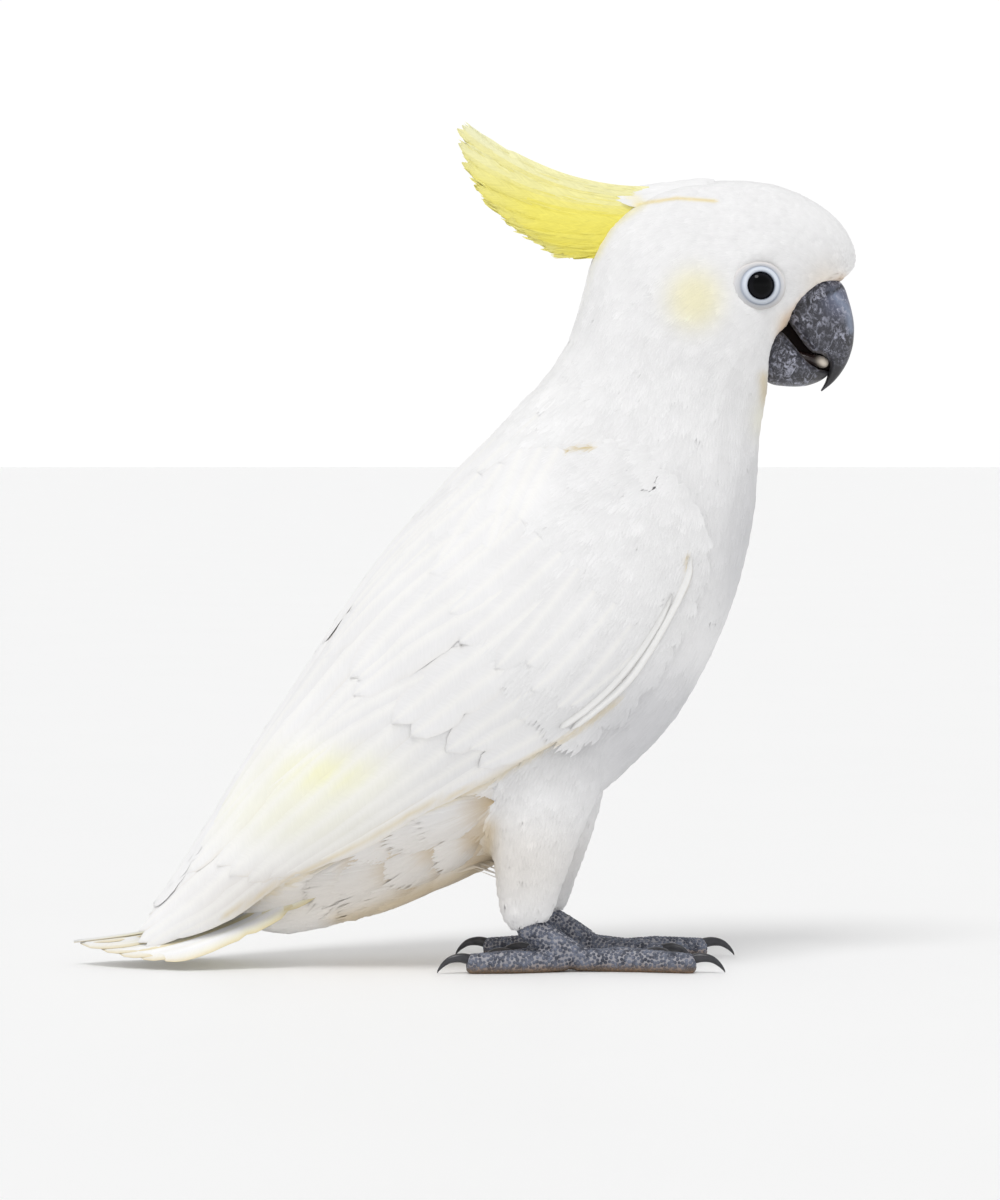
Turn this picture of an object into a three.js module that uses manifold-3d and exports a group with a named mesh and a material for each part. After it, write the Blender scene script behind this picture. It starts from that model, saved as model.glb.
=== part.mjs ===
// A sulphur-crested cockatoo standing on a floor: a still, life-size model of the whole bird.
//
// Millimetres, +Z up. The bird faces +X, its left side is +Y, and it stands on z = 0 on the pads of
// its toes and on the tips of its tail. Head, neck, trunk and rump are one lofted body parted by thin
// plane cuts. The wings are shells that lie over it, and the bill, eyes, crest, legs, toes, claws and
// tail are pieces of their own, each kept clear of its neighbours by a thin gap.

import * as THREE from 'three';
import { mergeVertices } from 'three/addons/utils/BufferGeometryUtils.js';
import Module from 'manifold-3d';

const wasm = await Module();
wasm.setup();

// ---------------------------------------------------------------- driving dimensions

const GAP = 0.3; // left between any two pieces that meet
const HALF_GAP = GAP / 2;
const FAR = 600; // larger than the whole bird, for cutting blocks

const EYE_AT = [123.5, 285.6]; // x, z of the eye on the side of the head
const EYE_RADIUS = 7.6;
const EYE_PROUD = 2.6; // how far the cornea stands out of the side of the head
const RING_OUTER = 10.2;
const RING_DEEP = 2.6;

const WING_THICKNESS = 15; // at the shoulder, where arm and feathers fill the space beside the trunk
const WING_TIP_THICKNESS = 3;

const FOOT_SPREAD = 24; // from the middle of the bird to the middle of each foot
const LEFT_FOOT_FORWARD = 7; // the left foot stands this far ahead of the right one
const TARSUS_RADIUS = 5.6;
const TOE_RADIUS = 5.0;
const PAD_SUNK = 0.45; // how much of a toe's underside is flattened by the floor
const CLAW_RADIUS = 2.5;

const TAIL_FEATHERS = 12;
const TAIL_ROOT_HALF = 10; // half the width of the tail where it leaves the body
const TAIL_FAN = 18; // how much wider each side of it is at the tip
const TAIL_ROOF = 12.5; // how much lower its edges lie than its middle
const FEATHER_THICKNESS = 1.1;

// ---------------------------------------------------------------- shape tools

const point = (x, z, y = 0) => new THREE.Vector3(x, y, z);

function catmull(a, b, c, d, t) {
  const t2 = t * t;
  return 0.5 * (2 * b + (c - a) * t + (2 * a - 5 * b + 4 * c - d) * t2 + (3 * b - a - 3 * c + d) * t2 * t);
}

// Rows of numbers, eased smoothly through the given rows with `steps` new ones between each two.
function eased(rows, steps) {
  const made = [];
  for (let i = 0; i < rows.length - 1; i++) {
    const around = [rows[Math.max(i - 1, 0)], rows[i], rows[i + 1], rows[Math.min(i + 2, rows.length - 1)]];
    for (let s = 0; s < steps; s++) {
      made.push(rows[i].map((_, k) => catmull(...around.map((row) => row[k]), s / steps)));
    }
  }
  made.push(rows[rows.length - 1]);
  return made;
}

const power = (value, exponent) => Math.sign(value) * Math.abs(value) ** exponent;

// One closed section between an upper and a lower point of the side view. `half` is half its width,
// `full` moves the widest place towards the lower point, and `square` flattens the sides.
function section([ux, uz, lx, lz, half, full = 0], { around, grow = 0, square = 2.15, y = 0 }) {
  const middle = point((ux + lx) / 2, (uz + lz) / 2, y);
  const down = point((lx - ux) / 2, (lz - uz) / 2);
  const reach = Math.max(down.length(), 1e-3);
  down.multiplyScalar((reach + grow) / reach);
  return Array.from({ length: around }, (_, k) => {
    const angle = (2 * Math.PI * k) / around;
    const along = power(Math.cos(angle), 2 / square);
    const across = power(Math.sin(angle), 2 / square) * (half + grow) * (1 + full * along);
    return middle.clone().addScaledVector(down, along).add(point(0, 0, across));
  });
}

// A closed body through rings of equally many points, its two ends closed by fans.
function loft(rings) {
  const around = rings[0].length;
  const centre = (ring) => ring.reduce((sum, p) => sum.add(p), new THREE.Vector3()).divideScalar(around);
  const points = [...rings.flat(), centre(rings[0]), centre(rings[rings.length - 1])];
  const first = rings.length * around;
  const faces = [];
  for (let r = 0; r < rings.length - 1; r++) {
    for (let k = 0; k < around; k++) {
      const a = r * around + k;
      const b = r * around + ((k + 1) % around);
      faces.push(a, b, a + around, b, b + around, a + around);
    }
  }
  for (let k = 0; k < around; k++) {
    const next = (k + 1) % around;
    const last = (rings.length - 1) * around;
    faces.push(first, next, k, first + 1, last + k, last + next);
  }
  const flat = points.flatMap((p) => [p.x, p.y, p.z]);
  return new THREE.BufferGeometry()
    .setAttribute('position', new THREE.Float32BufferAttribute(flat, 3))
    .setIndex(faces);
}

function signedVolume(geometry) {
  const p = geometry.getAttribute('position');
  const index = geometry.index.array;
  const [a, b, c] = [new THREE.Vector3(), new THREE.Vector3(), new THREE.Vector3()];
  let sum = 0;
  for (let i = 0; i < index.length; i += 3) {
    a.fromBufferAttribute(p, index[i]);
    b.fromBufferAttribute(p, index[i + 1]);
    c.fromBufferAttribute(p, index[i + 2]);
    sum += a.dot(b.cross(c)) / 6;
  }
  return sum;
}

// A three.js geometry as a solid that can be joined and cut, with its faces turned outwards.
function solid(geometry) {
  const bare = geometry.clone();
  bare.deleteAttribute('normal');
  bare.deleteAttribute('uv');
  const merged = mergeVertices(bare, 1e-4);
  const corners = new Uint32Array(merged.index.array);
  if (signedVolume(merged) < 0) {
    for (let i = 0; i < corners.length; i += 3) {
      [corners[i + 1], corners[i + 2]] = [corners[i + 2], corners[i + 1]];
    }
  }
  return new wasm.Manifold(
    new wasm.Mesh({ numProp: 3, vertProperties: merged.getAttribute('position').array, triVerts: corners }),
  );
}

function geometryOf(made) {
  const mesh = made.getMesh();
  return new THREE.BufferGeometry()
    .setAttribute('position', new THREE.BufferAttribute(Float32Array.from(mesh.vertProperties), 3))
    .setIndex(new THREE.BufferAttribute(Uint32Array.from(mesh.triVerts), 1));
}

const lofted = (rows, steps, options) => solid(loft(eased(rows, steps).map((row) => section(row, options))));

// A tapering round limb along a curve through `stops`, [x, y, z, radius], with rounded ends.
function limb(stops, { steps = 1, around = 8, grow = 0 }) {
  const rows = eased(stops, steps);
  const ends = [rows[0], rows[rows.length - 1]];
  const beyond = [rows[1], rows[rows.length - 2]];
  const tips = ends.map((end, i) => {
    const away = new THREE.Vector3(end[0] - beyond[i][0], end[1] - beyond[i][1], end[2] - beyond[i][2]);
    away.normalize().multiplyScalar(end[3] * 0.55);
    return [end[0] + away.x, end[1] + away.y, end[2] + away.z, end[3] * 0.55];
  });
  const path = [tips[0], ...rows, tips[1]];
  const rings = path.map((row, i) => {
    const [before, after] = [path[Math.max(i - 1, 0)], path[Math.min(i + 1, path.length - 1)]];
    const along = new THREE.Vector3(after[0] - before[0], after[1] - before[1], after[2] - before[2]).normalize();
    const side = new THREE.Vector3(-along.y, along.x, 0);
    if (side.length() < 1e-3) side.set(0, 1, 0);
    side.normalize();
    const up = new THREE.Vector3().crossVectors(along, side);
    return Array.from({ length: around }, (_, k) => {
      const angle = (2 * Math.PI * (k + 0.5)) / around;
      return new THREE.Vector3(row[0], row[1], row[2])
        .addScaledVector(side, Math.cos(angle) * (row[3] + grow))
        .addScaledVector(up, Math.sin(angle) * (row[3] + grow));
    });
  });
  return solid(loft(rings));
}

// A block that fills everything beyond the plane through `at` that faces along `direction`.
function beyond(at, direction, off = 0) {
  const block = new THREE.BoxGeometry(FAR * 2, FAR * 2, FAR);
  block.translate(0, 0, FAR / 2 + off);
  const turn = new THREE.Quaternion().setFromUnitVectors(point(0, 1), direction.clone().normalize());
  block.applyQuaternion(turn);
  block.translate(at.x, at.y, at.z);
  return solid(block);
}

// Everything to the left of the line from `a` to `b` in the side view, less half a gap.
const leftOf = (a, b) => beyond(point(...a), point(a[1] - b[1], b[0] - a[0]), HALF_GAP);
// Everything on the +Y side (side = 1) or the -Y side (side = -1) of the bird's middle.
const halfOf = (side) => beyond(point(0, 0), point(0, 0, side), HALF_GAP);
const aboveFloor = beyond(point(0, 0), point(0, 1));

// ---------------------------------------------------------------- materials

const paint = (color, roughness) => new THREE.MeshStandardMaterial({ color, roughness, metalness: 0 });
const WHITE_FEATHER = paint(0xf1f0ec, 0.85);
const YELLOW_FEATHER = paint(0xf3e24c, 0.8);
const BILL = paint(0x3c3b40, 0.5);
const EYE = paint(0x0c0a09, 0.08);
const RING_SKIN = paint(0xdfe5ea, 0.55);
const SCALES = paint(0x53545c, 0.6);
const CLAW = paint(0x26262a, 0.4);
const TONGUE = paint(0xb9a198, 0.5);

const cockatoo = new THREE.Group();

function add(name, made, material) {
  const mesh = new THREE.Mesh(geometryOf(made), material);
  mesh.name = name;
  cockatoo.add(mesh);
}

// ---------------------------------------------------------------- body: head, neck, trunk and rump

// Each row is the upper (crown and back) point x, z, the lower (face, throat and breast) point x, z,
// half the width there, and how far the widest place lies towards the lower point.
const BODY_ROWS = [
  [163.8, 299.5, 163.8, 296.0, 1.5, 0.0], // forehead
  [158.8, 310.5, 159.5, 287.5, 9.0, 0.0],
  [147.5, 320.5, 149.0, 283.0, 16.5, 0.02],
  [129.0, 328.6, 130.5, 262.0, 25.5, 0.08], // above the eye, in front of the cheek
  [104.5, 330.2, 127.0, 244.0, 30.5, 0.14], // crown to chin
  [80.0, 325.5, 125.5, 234.5, 32.0, 0.14],
  [59.5, 311.0, 124.0, 226.0, 32.5, 0.1], // root of the crest to throat
  [50.5, 291.0, 123.0, 216.0, 33.5, 0.05], // nape
  [42.5, 262.0, 122.5, 204.5, 36.5, 0.0],
  [25.5, 239.0, 121.5, 191.0, 41.0, 0.0],
  [5.5, 216.5, 118.5, 175.0, 45.5, 0.0], // shoulders
  [-15.0, 191.0, 112.5, 152.5, 48.5, 0.0],
  [-30.0, 165.0, 102.0, 127.5, 48.5, 0.0],
  [-43.0, 143.0, 87.5, 102.5, 46.5, 0.0],
  [-53.0, 124.5, 67.5, 81.5, 41.0, 0.0], // belly
  [-63.0, 106.0, 42.0, 60.5, 37.0, 0.0],
  [-72.5, 88.0, 13.0, 42.5, 32.5, 0.0], // vent
  [-82.0, 70.5, -17.0, 30.0, 27.0, 0.0],
  [-92.0, 54.5, -47.0, 19.0, 20.0, 0.0], // feathers under the tail
  [-101.0, 39.0, -76.0, 12.5, 12.0, 0.0],
  [-104.5, 27.0, -97.0, 17.5, 4.0, 0.0],
];
const BODY = { around: 18 };
const body = lofted(BODY_ROWS, 2, BODY);
const bodyGrown = lofted(BODY_ROWS, 2, { ...BODY, grow: GAP });

const HEAD_CUT = [[50, 287], [124, 238]]; // nape to chin
const NECK_CUT = [[24, 238], [122, 196]]; // root of the neck
const RUMP_CUT = [[-62, 112], [40, 62]]; // loins to vent

const part = (from, to) => {
  let piece = body;
  if (from) piece = piece.intersect(leftOf(from[1], from[0]));
  if (to) piece = piece.intersect(leftOf(to[0], to[1]));
  return piece;
};

// ---------------------------------------------------------------- bill and tongue

const UPPER_BILL_ROWS = [
  [149.5, 290.0, 130.5, 276.5, 10.5, 0.25],
  [157.5, 286.5, 134.5, 271.8, 11.6, 0.3],
  [161.3, 278.5, 137.0, 265.5, 11.2, 0.32],
  [163.0, 268.5, 141.5, 259.8, 9.8, 0.34],
  [162.3, 260.0, 147.0, 256.8, 7.8, 0.34],
  [160.4, 253.8, 151.4, 254.2, 5.4, 0.25],
  [157.5, 248.6, 152.4, 249.6, 3.6, 0.15],
  [153.8, 244.0, 151.5, 244.8, 1.9, 0.0],
  [149.8, 240.8, 149.3, 241.2, 0.3, 0.0],
];
const LOWER_BILL_ROWS = [
  [127.5, 268.0, 122.0, 250.0, 11.5, 0.0],
  [132.8, 266.8, 127.0, 244.8, 12.6, -0.1],
  [137.6, 261.0, 133.5, 243.3, 12.2, -0.15],
  [142.0, 255.6, 141.5, 243.4, 10.4, -0.2],
  [146.4, 251.2, 147.2, 245.0, 7.4, -0.2],
  [150.0, 249.6, 150.6, 247.0, 4.0, 0.0],
  [151.8, 248.9, 151.9, 248.3, 1.4, 0.0],
];
const TONGUE_ROWS = [
  [133.0, 262.5, 131.5, 258.0, 4.0, 0.0],
  [140.0, 257.8, 138.5, 254.6, 4.2, 0.0],
  [146.5, 255.4, 145.6, 252.2, 3.6, 0.0],
  [150.2, 253.8, 149.6, 251.6, 1.6, 0.0],
];
const BILL_SECTION = { around: 12, square: 2.2 };
const upperBill = lofted(UPPER_BILL_ROWS, 1, BILL_SECTION);
const upperBillGrown = lofted(UPPER_BILL_ROWS, 1, { ...BILL_SECTION, grow: GAP });
const lowerBill = lofted(LOWER_BILL_ROWS, 1, BILL_SECTION).subtract(upperBillGrown);
const lowerBillGrown = lofted(LOWER_BILL_ROWS, 1, { ...BILL_SECTION, grow: GAP });
const tongue = lofted(TONGUE_ROWS, 1, { around: 8 }).subtract(upperBillGrown).subtract(lowerBillGrown);
const tongueGrown = lofted(TONGUE_ROWS, 1, { around: 8, grow: GAP });

// ---------------------------------------------------------------- eyes, each in a ring of bare skin

// The place on the side of the body straight out from (x, z), and the direction that faces outwards.
function onSide(x, z, side) {
  const surface = new THREE.Mesh(geometryOf(body), WHITE_FEATHER);
  const ray = new THREE.Raycaster(point(x, z, side * FAR), point(0, 0, -side));
  return ray.intersectObject(surface)[0].point;
}

const RING_FACING = [0.2, 0.98, 0.05]; // the eye looks out and a little ahead

// The eyeball's centre lies this far under the surface of the head, and its radius at height h.
const EYE_DEPTH = EYE_RADIUS - EYE_PROUD;
const eyeRadiusAt = (h) => Math.sqrt(EYE_RADIUS ** 2 - (h + EYE_DEPTH) ** 2);

// The ring of skin round the eye, as a turned profile whose axis is Y. Its inner wall follows the
// eyeball up to a raised lip, and its outer rim sinks into the feathers.
const RING_PROFILE = [
  [eyeRadiusAt(0.3) + GAP * 1.5, 0.6],
  [eyeRadiusAt(0.3) + 1.4, 1.1],
  [RING_OUTER - 2, 0.7],
  [RING_OUTER - 0.4, -0.2],
  [RING_OUTER - 0.6, -RING_DEEP],
  [eyeRadiusAt(-RING_DEEP) + GAP * 1.3, -RING_DEEP],
].map(([r, h]) => new THREE.Vector2(r, h));

function turned(profile, segments) {
  const closed = [...profile, profile[0]].reverse();
  return new THREE.LatheGeometry(closed, segments);
}

const eyeSet = [-1, 1].map((side) => {
  const [x, z] = EYE_AT;
  const facing = new THREE.Vector3(RING_FACING[0], side * RING_FACING[1], RING_FACING[2]).normalize();
  const seat = onSide(x, z, side).addScaledVector(facing, -0.3);
  const turn = new THREE.Quaternion().setFromUnitVectors(new THREE.Vector3(0, 1, 0), facing);
  const place = (geometry, depth) => {
    geometry.applyQuaternion(turn);
    const at = seat.clone().addScaledVector(facing, depth);
    return solid(geometry.translate(at.x, at.y, at.z));
  };
  const hole = new THREE.CylinderGeometry(RING_OUTER, RING_OUTER, RING_DEEP * 3, 16);
  return {
    word: side < 0 ? 'right' : 'left',
    ball: place(new THREE.SphereGeometry(EYE_RADIUS, 12, 8), -EYE_DEPTH),
    ring: place(turned(RING_PROFILE, 16), 0),
    socket: place(new THREE.SphereGeometry(EYE_RADIUS + GAP * 1.5, 12, 8), -EYE_DEPTH)
      .add(place(hole, RING_DEEP * 0.5 - GAP)),
  };
});

// ---------------------------------------------------------------- crest

const CREST_ROWS = [
  [90.0, 322.0, 73.0, 304.0, 5.0, 0.0],
  [73.0, 326.8, 54.0, 297.5, 8.0, 0.0],
  [55.0, 327.6, 39.5, 299.5, 7.5, 0.0],
  [38.5, 329.6, 26.0, 305.0, 6.6, 0.0],
  [25.5, 333.0, 15.0, 313.0, 5.6, 0.0],
  [14.5, 338.0, 6.0, 322.0, 4.4, 0.0],
  [6.8, 343.2, 0.8, 332.5, 3.0, 0.0],
  [1.6, 348.0, -1.6, 342.0, 1.8, 0.0],
  [-1.0, 353.0, -1.8, 351.8, 0.4, 0.0],
];
const crest = lofted(CREST_ROWS, 1, { around: 10, square: 2 }).subtract(bodyGrown);

// ---------------------------------------------------------------- wings

// Sections of the whole bird with its wings folded: back x, z, underside x, z, half the width. The wings
// are shells cut from this shape, so they wrap the flanks and meet over the rump.
const FOLDED_ROWS = [
  [63.0, 262.0, 129.0, 168.0, 36.0, 0.0],
  [39.5, 246.5, 118.0, 138.0, 51.5, 0.0],
  [10.5, 221.0, 99.0, 112.0, 59.0, 0.0],
  [-19.5, 189.5, 74.0, 88.0, 60.0, 0.0],
  [-44.5, 158.5, 44.0, 74.0, 56.5, 0.0],
  [-66.0, 125.0, 10.0, 61.0, 48.0, 0.0],
  [-87.0, 93.5, -28.0, 44.0, 39.5, 0.0],
  [-104.0, 65.5, -61.0, 31.0, 30.5, 0.0],
  [-120.0, 40.0, -91.0, 13.0, 21.0, 0.0],
  [-133.0, 21.0, -119.0, 3.0, 13.0, 0.0],
  [-139.5, 10.5, -135.5, 5.5, 4.0, 0.0],
];
const FOLDED = { around: 24, square: 2.1 };

// The outline of one folded wing from the side: shoulder, leading edge, lower edge, tip and upper edge.
const WING_OUTLINE = [
  [42, 214.5], [58, 217.5], [74, 213.5], [86.5, 203], [94, 186], [93, 170], [81, 142], [65.5, 120.5], [45, 104],
  [6, 79.5], [-20, 69.5], [-57, 48], [-103, 22], [-128, 12], [-140, 9.4], [-150, 20], [-125, 70], [-92, 125],
  [-62, 162], [-30, 189], [-6, 204], [20, 212],
];

function wingBlock() {
  const curve = new THREE.SplineCurve([...WING_OUTLINE, WING_OUTLINE[0]].map(([x, z]) => new THREE.Vector2(x, z)));
  const outline = new THREE.Shape(curve.getPoints(36).slice(0, -1));
  const block = new THREE.ExtrudeGeometry(outline, { depth: FAR, bevelEnabled: false });
  block.translate(0, 0, -FAR / 2);
  block.rotateX(Math.PI / 2);
  return solid(block);
}

const thinned = FOLDED_ROWS.map((row, i) => {
  const share = i / (FOLDED_ROWS.length - 1);
  const thick = WING_THICKNESS + (WING_TIP_THICKNESS - WING_THICKNESS) * share;
  const [ux, uz, lx, lz, half] = row;
  const [dx, dz] = [lx - ux, lz - uz];
  const inset = Math.min(thick / Math.hypot(dx, dz), 0.45);
  return [ux + dx * inset, uz + dz * inset, lx - dx * inset, lz - dz * inset, Math.max(half - thick, 0.5), 0];
});
const wingShell = lofted(FOLDED_ROWS, 1, FOLDED).subtract(lofted(thinned, 1, { ...FOLDED, around: 12 }));

// The tips of the secondaries: beyond this line only the primaries reach.
const PRIMARY_CUT = [[-88, 28], [-104, 68]];

// ---------------------------------------------------------------- tail

// The tail leaves the rump steeply and is laid along the floor: [distance along it, x, z].
const TAIL_LINE = new THREE.CatmullRomCurve3([
  point(-22, 92), point(-50, 56), point(-82, 32), point(-122, 16.5), point(-165, 9.5),
]);

// The fan lies like a roof: the middle pair of feathers on top and each next one lower, further out and
// a little shorter. Each feather has a raised shaft and a blunt point of its own.
const TAIL_SHARES = [0, 0.3, 0.6, 0.85, 0.96, 1];
const SHAFT_RISE = 0.5;
const FEATHER_STEP = 0.4;

function tailRing(share, grow, below) {
  const top = [];
  const bottom = [];
  const pairs = TAIL_FEATHERS / 2;
  const width = (TAIL_ROOT_HALF + TAIL_FAN * share + grow) / pairs;
  for (let order = -pairs; order < pairs; order++) {
    const out = Math.abs(order + 0.5) - 0.5;
    for (const across of [0.03, 0.5, 0.97]) {
      const outwards = (out + (order < 0 ? 1 - across : across)) / pairs;
      const drop = TAIL_ROOF * (0.4 + 0.6 * share) * outwards ** 1.3 + FEATHER_STEP * out;
      const height = (across === 0.5 ? SHAFT_RISE : 0) - drop;
      const tip = share > 0.9 && across !== 0.5 ? 0.945 : 1;
      const reach = share * tip * (1 - 0.012 * out ** 1.5);
      const along = TAIL_LINE.getTangentAt(reach);
      const up = point(along.z, -along.x).normalize();
      const middle = TAIL_LINE.getPointAt(reach);
      middle.y = width * (order + across);
      top.push(middle.clone().addScaledVector(up, height + grow));
      bottom.unshift(middle.clone().addScaledVector(up, height - FEATHER_THICKNESS - below));
    }
  }
  return [...top, ...bottom];
}

const fan = (grow, below) => solid(loft(TAIL_SHARES.map((share) => tailRing(share, grow, below))));
const tail = fan(0, 0).subtract(bodyGrown).intersect(aboveFloor);
const underWings = fan(GAP, 30); // the tail and all the room beneath it, kept clear of the wings

// ---------------------------------------------------------------- legs, toes and claws

// Feathered leg: back x, z, front x, z and half the width, from inside the belly to the heel.
const THIGH_ROWS = [
  [8.0, 92.0, 62.0, 98.0, 15.0, 0.0],
  [9.0, 66.0, 56.0, 76.0, 16.5, 0.0],
  [11.5, 48.0, 47.5, 56.0, 14.5, 0.0],
  [13.0, 33.0, 41.0, 38.0, 11.5, 0.0],
  [15.0, 22.0, 36.0, 24.0, 8.6, 0.0],
  [19.5, 16.5, 32.0, 17.0, 5.0, 0.0],
];
const HEEL = [25, 19]; // x, z
const PALM = [43.5, 6.2];

// For each toe: its name, that of the toe beside it, its tip's x and outward y from the palm, its radius
// at the tip and how far it bows outwards.
const TOES = [
  { name: '1', beside: '4', x: -25, out: -12, radius: 3.9, bow: 1.5 },
  { name: '2', beside: '3', x: 33, out: -15, radius: 4.0, bow: 1.5 },
  { name: '3', beside: '2', x: 51, out: 7, radius: 4.2, bow: -2.5 },
  { name: '4', beside: '1', x: -42, out: 8, radius: 4.2, bow: 2.0 },
];

function legPieces(side) {
  const word = side < 0 ? 'right' : 'left';
  const ahead = side < 0 ? 0 : LEFT_FOOT_FORWARD;
  const y = side * FOOT_SPREAD;
  const shifted = (rows) => rows.map(([ux, uz, lx, lz, half, full], i) => {
    const share = Math.min(i / 2, 1);
    return [ux + ahead * share, uz, lx + ahead * share, lz, half, full];
  });
  const thighWith = (grow) => lofted(shifted(THIGH_ROWS), 1, { around: 14, grow, y });
  const heel = [HEEL[0] + ahead, y, HEEL[1]];
  const palm = [PALM[0] + ahead, y, PALM[1]];
  const shank = (grow) => limb(
    [
      [...heel, TARSUS_RADIUS * 0.9],
      [(heel[0] + palm[0]) / 2, y, (heel[2] + palm[2]) / 2 + 0.6, TARSUS_RADIUS],
      [...palm, TARSUS_RADIUS * 1.1],
    ],
    { steps: 2, around: 10, grow },
  );
  const thigh = thighWith(0).subtract(bodyGrown).subtract(shank(GAP));
  add(`thigh_${word}`, thigh, WHITE_FEATHER);
  add(`tarsus_${word}`, shank(0).intersect(aboveFloor), SCALES);
  const start = point(palm[0], 0, y);
  const direction = ({ x, out }) => point(x, 0, side * out).normalize();
  for (const spec of TOES) {
    const { name, beside, x, out, radius, bow } = spec;
    const along = direction(spec);
    const away = along.clone().sub(direction(TOES.find((other) => other.name === beside)));
    const length = Math.hypot(x, out);
    const place = (share, lift, r) => {
      const at = point(palm[0], lift, y).addScaledVector(along, length * share);
      at.y += side * bow * Math.sin(Math.PI * Math.min(share, 1));
      return [at.x, at.y, at.z, r];
    };
    const onFloor = (share, r) => place(share, r - PAD_SUNK, r);
    const toeStops = [
      place(0.06, TOE_RADIUS + 0.4, TOE_RADIUS), onFloor(0.35, TOE_RADIUS * 0.9),
      onFloor(0.6, TOE_RADIUS * 0.98), onFloor(0.98, radius),
    ];
    const clawStops = [
      place(0.97, 5.4, CLAW_RADIUS), place(0.97 + 6 / length, 6.6, CLAW_RADIUS * 0.92),
      place(0.97 + 11.5 / length, 4.6, CLAW_RADIUS * 0.55), place(0.97 + 14.5 / length, 1.0, CLAW_RADIUS * 0.14),
    ];
    const end = start.clone().addScaledVector(along, length + radius * 0.2);
    const clawOnly = limb(clawStops, { around: 6 }).intersect(beyond(end, along, HALF_GAP));
    const toeOnly = limb(toeStops, { around: 8 })
      .intersect(beyond(start, away, HALF_GAP))
      .intersect(beyond(start, point(x, 0), HALF_GAP))
      .intersect(beyond(end, along.clone().negate(), HALF_GAP))
      .subtract(shank(GAP));
    add(`toe_${name}_${word}`, toeOnly.intersect(aboveFloor), SCALES);
    add(`claw_${name}_${word}`, clawOnly.intersect(aboveFloor), CLAW);
  }
  return { thighGrown: thighWith(GAP) };
}

// ---------------------------------------------------------------- putting it together

const legs = [-1, 1].map(legPieces);

let head = part(null, HEAD_CUT).subtract(upperBillGrown).subtract(lowerBillGrown).subtract(tongueGrown);
for (const { socket } of eyeSet) head = head.subtract(socket);
add('head', head, WHITE_FEATHER);
add('neck', part(HEAD_CUT, NECK_CUT), WHITE_FEATHER);
add('trunk', part(NECK_CUT, RUMP_CUT), WHITE_FEATHER);
add('rump', part(RUMP_CUT, null), WHITE_FEATHER);
add('crest', crest, YELLOW_FEATHER);
add('bill_upper', upperBill, BILL);
add('bill_lower', lowerBill, BILL);
add('tongue', tongue, TONGUE);
for (const { word, ball, ring } of eyeSet) {
  add(`eye_${word}`, ball, EYE);
  add(`eye_ring_${word}`, ring, RING_SKIN);
}
add('tail', tail, WHITE_FEATHER);

const block = wingBlock();
[-1, 1].forEach((side, i) => {
  const word = side < 0 ? 'right' : 'left';
  const wing = wingShell.intersect(block).intersect(halfOf(side)).subtract(bodyGrown)
    .subtract(legs[i].thighGrown).subtract(underWings);
  add(`wing_${word}`, wing.intersect(leftOf(PRIMARY_CUT[1], PRIMARY_CUT[0])), WHITE_FEATHER);
  add(`primaries_${word}`, wing.intersect(leftOf(PRIMARY_CUT[0], PRIMARY_CUT[1])), WHITE_FEATHER);
});

// The origin is on the floor, under the middle of the bird's plan.
const extent = new THREE.Box3().setFromObject(cockatoo);
cockatoo.position.set(-(extent.min.x + extent.max.x) / 2, -(extent.min.y + extent.max.y) / 2, -extent.min.z);

export default cockatoo;
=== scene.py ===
"""A sulphur-crested cockatoo, life size, standing still with its wings folded.

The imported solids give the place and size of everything. One skin replaces the flesh, and every feather
is thin solid mesh laid over it. Metres, +Z up, the bird faces +X and its left side is +Y.
"""

import itertools
import math

import bmesh
import bpy
import numpy as np
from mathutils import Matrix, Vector
from mathutils.bvhtree import BVHTree


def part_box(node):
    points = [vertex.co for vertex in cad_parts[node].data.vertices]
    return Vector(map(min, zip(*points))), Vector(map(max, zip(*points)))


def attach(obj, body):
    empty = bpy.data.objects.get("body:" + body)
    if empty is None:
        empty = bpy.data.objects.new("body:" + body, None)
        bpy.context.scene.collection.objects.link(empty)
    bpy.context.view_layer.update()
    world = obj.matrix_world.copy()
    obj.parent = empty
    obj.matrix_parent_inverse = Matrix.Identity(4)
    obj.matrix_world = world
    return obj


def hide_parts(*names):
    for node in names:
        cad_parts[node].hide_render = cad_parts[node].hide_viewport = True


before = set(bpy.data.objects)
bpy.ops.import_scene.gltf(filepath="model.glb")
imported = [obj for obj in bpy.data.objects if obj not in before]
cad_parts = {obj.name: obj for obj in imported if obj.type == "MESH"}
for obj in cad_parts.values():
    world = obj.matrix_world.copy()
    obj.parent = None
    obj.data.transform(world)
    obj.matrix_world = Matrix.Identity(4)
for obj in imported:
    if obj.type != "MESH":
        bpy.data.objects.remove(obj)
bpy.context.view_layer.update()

scene = bpy.context.scene

# ------------------------------------------------------------------ camera, light and floor
# The stand for looking at the bird: a long lens level with its middle, from its right side. The room
# has white walls all round and a softer ceiling, one broad lamp overhead, and a smooth pale floor.

AIM = Vector((0.0149, 0.0, 0.1537))
DISTANCE = 2.0
VIEW_HEIGHT = 0.504  # how much of the bird's plane the upright frame takes in
LIFT = math.radians(2.0)


def linked(name, data):
    made = bpy.data.objects.new(name, data)
    scene.collection.objects.link(made)
    return made


lens = bpy.data.cameras.new("camera")
lens.sensor_width = 36
lens.lens = 36 * DISTANCE / VIEW_HEIGHT
camera = linked("camera", lens)
camera.location = AIM + Vector((0, -math.cos(LIFT) * DISTANCE, math.sin(LIFT) * DISTANCE))
camera.rotation_euler = (AIM - camera.location).to_track_quat("-Z", "Y").to_euler()
scene.camera = camera

scene.view_settings.view_transform = "Standard"
scene.view_settings.look = "None"

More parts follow.
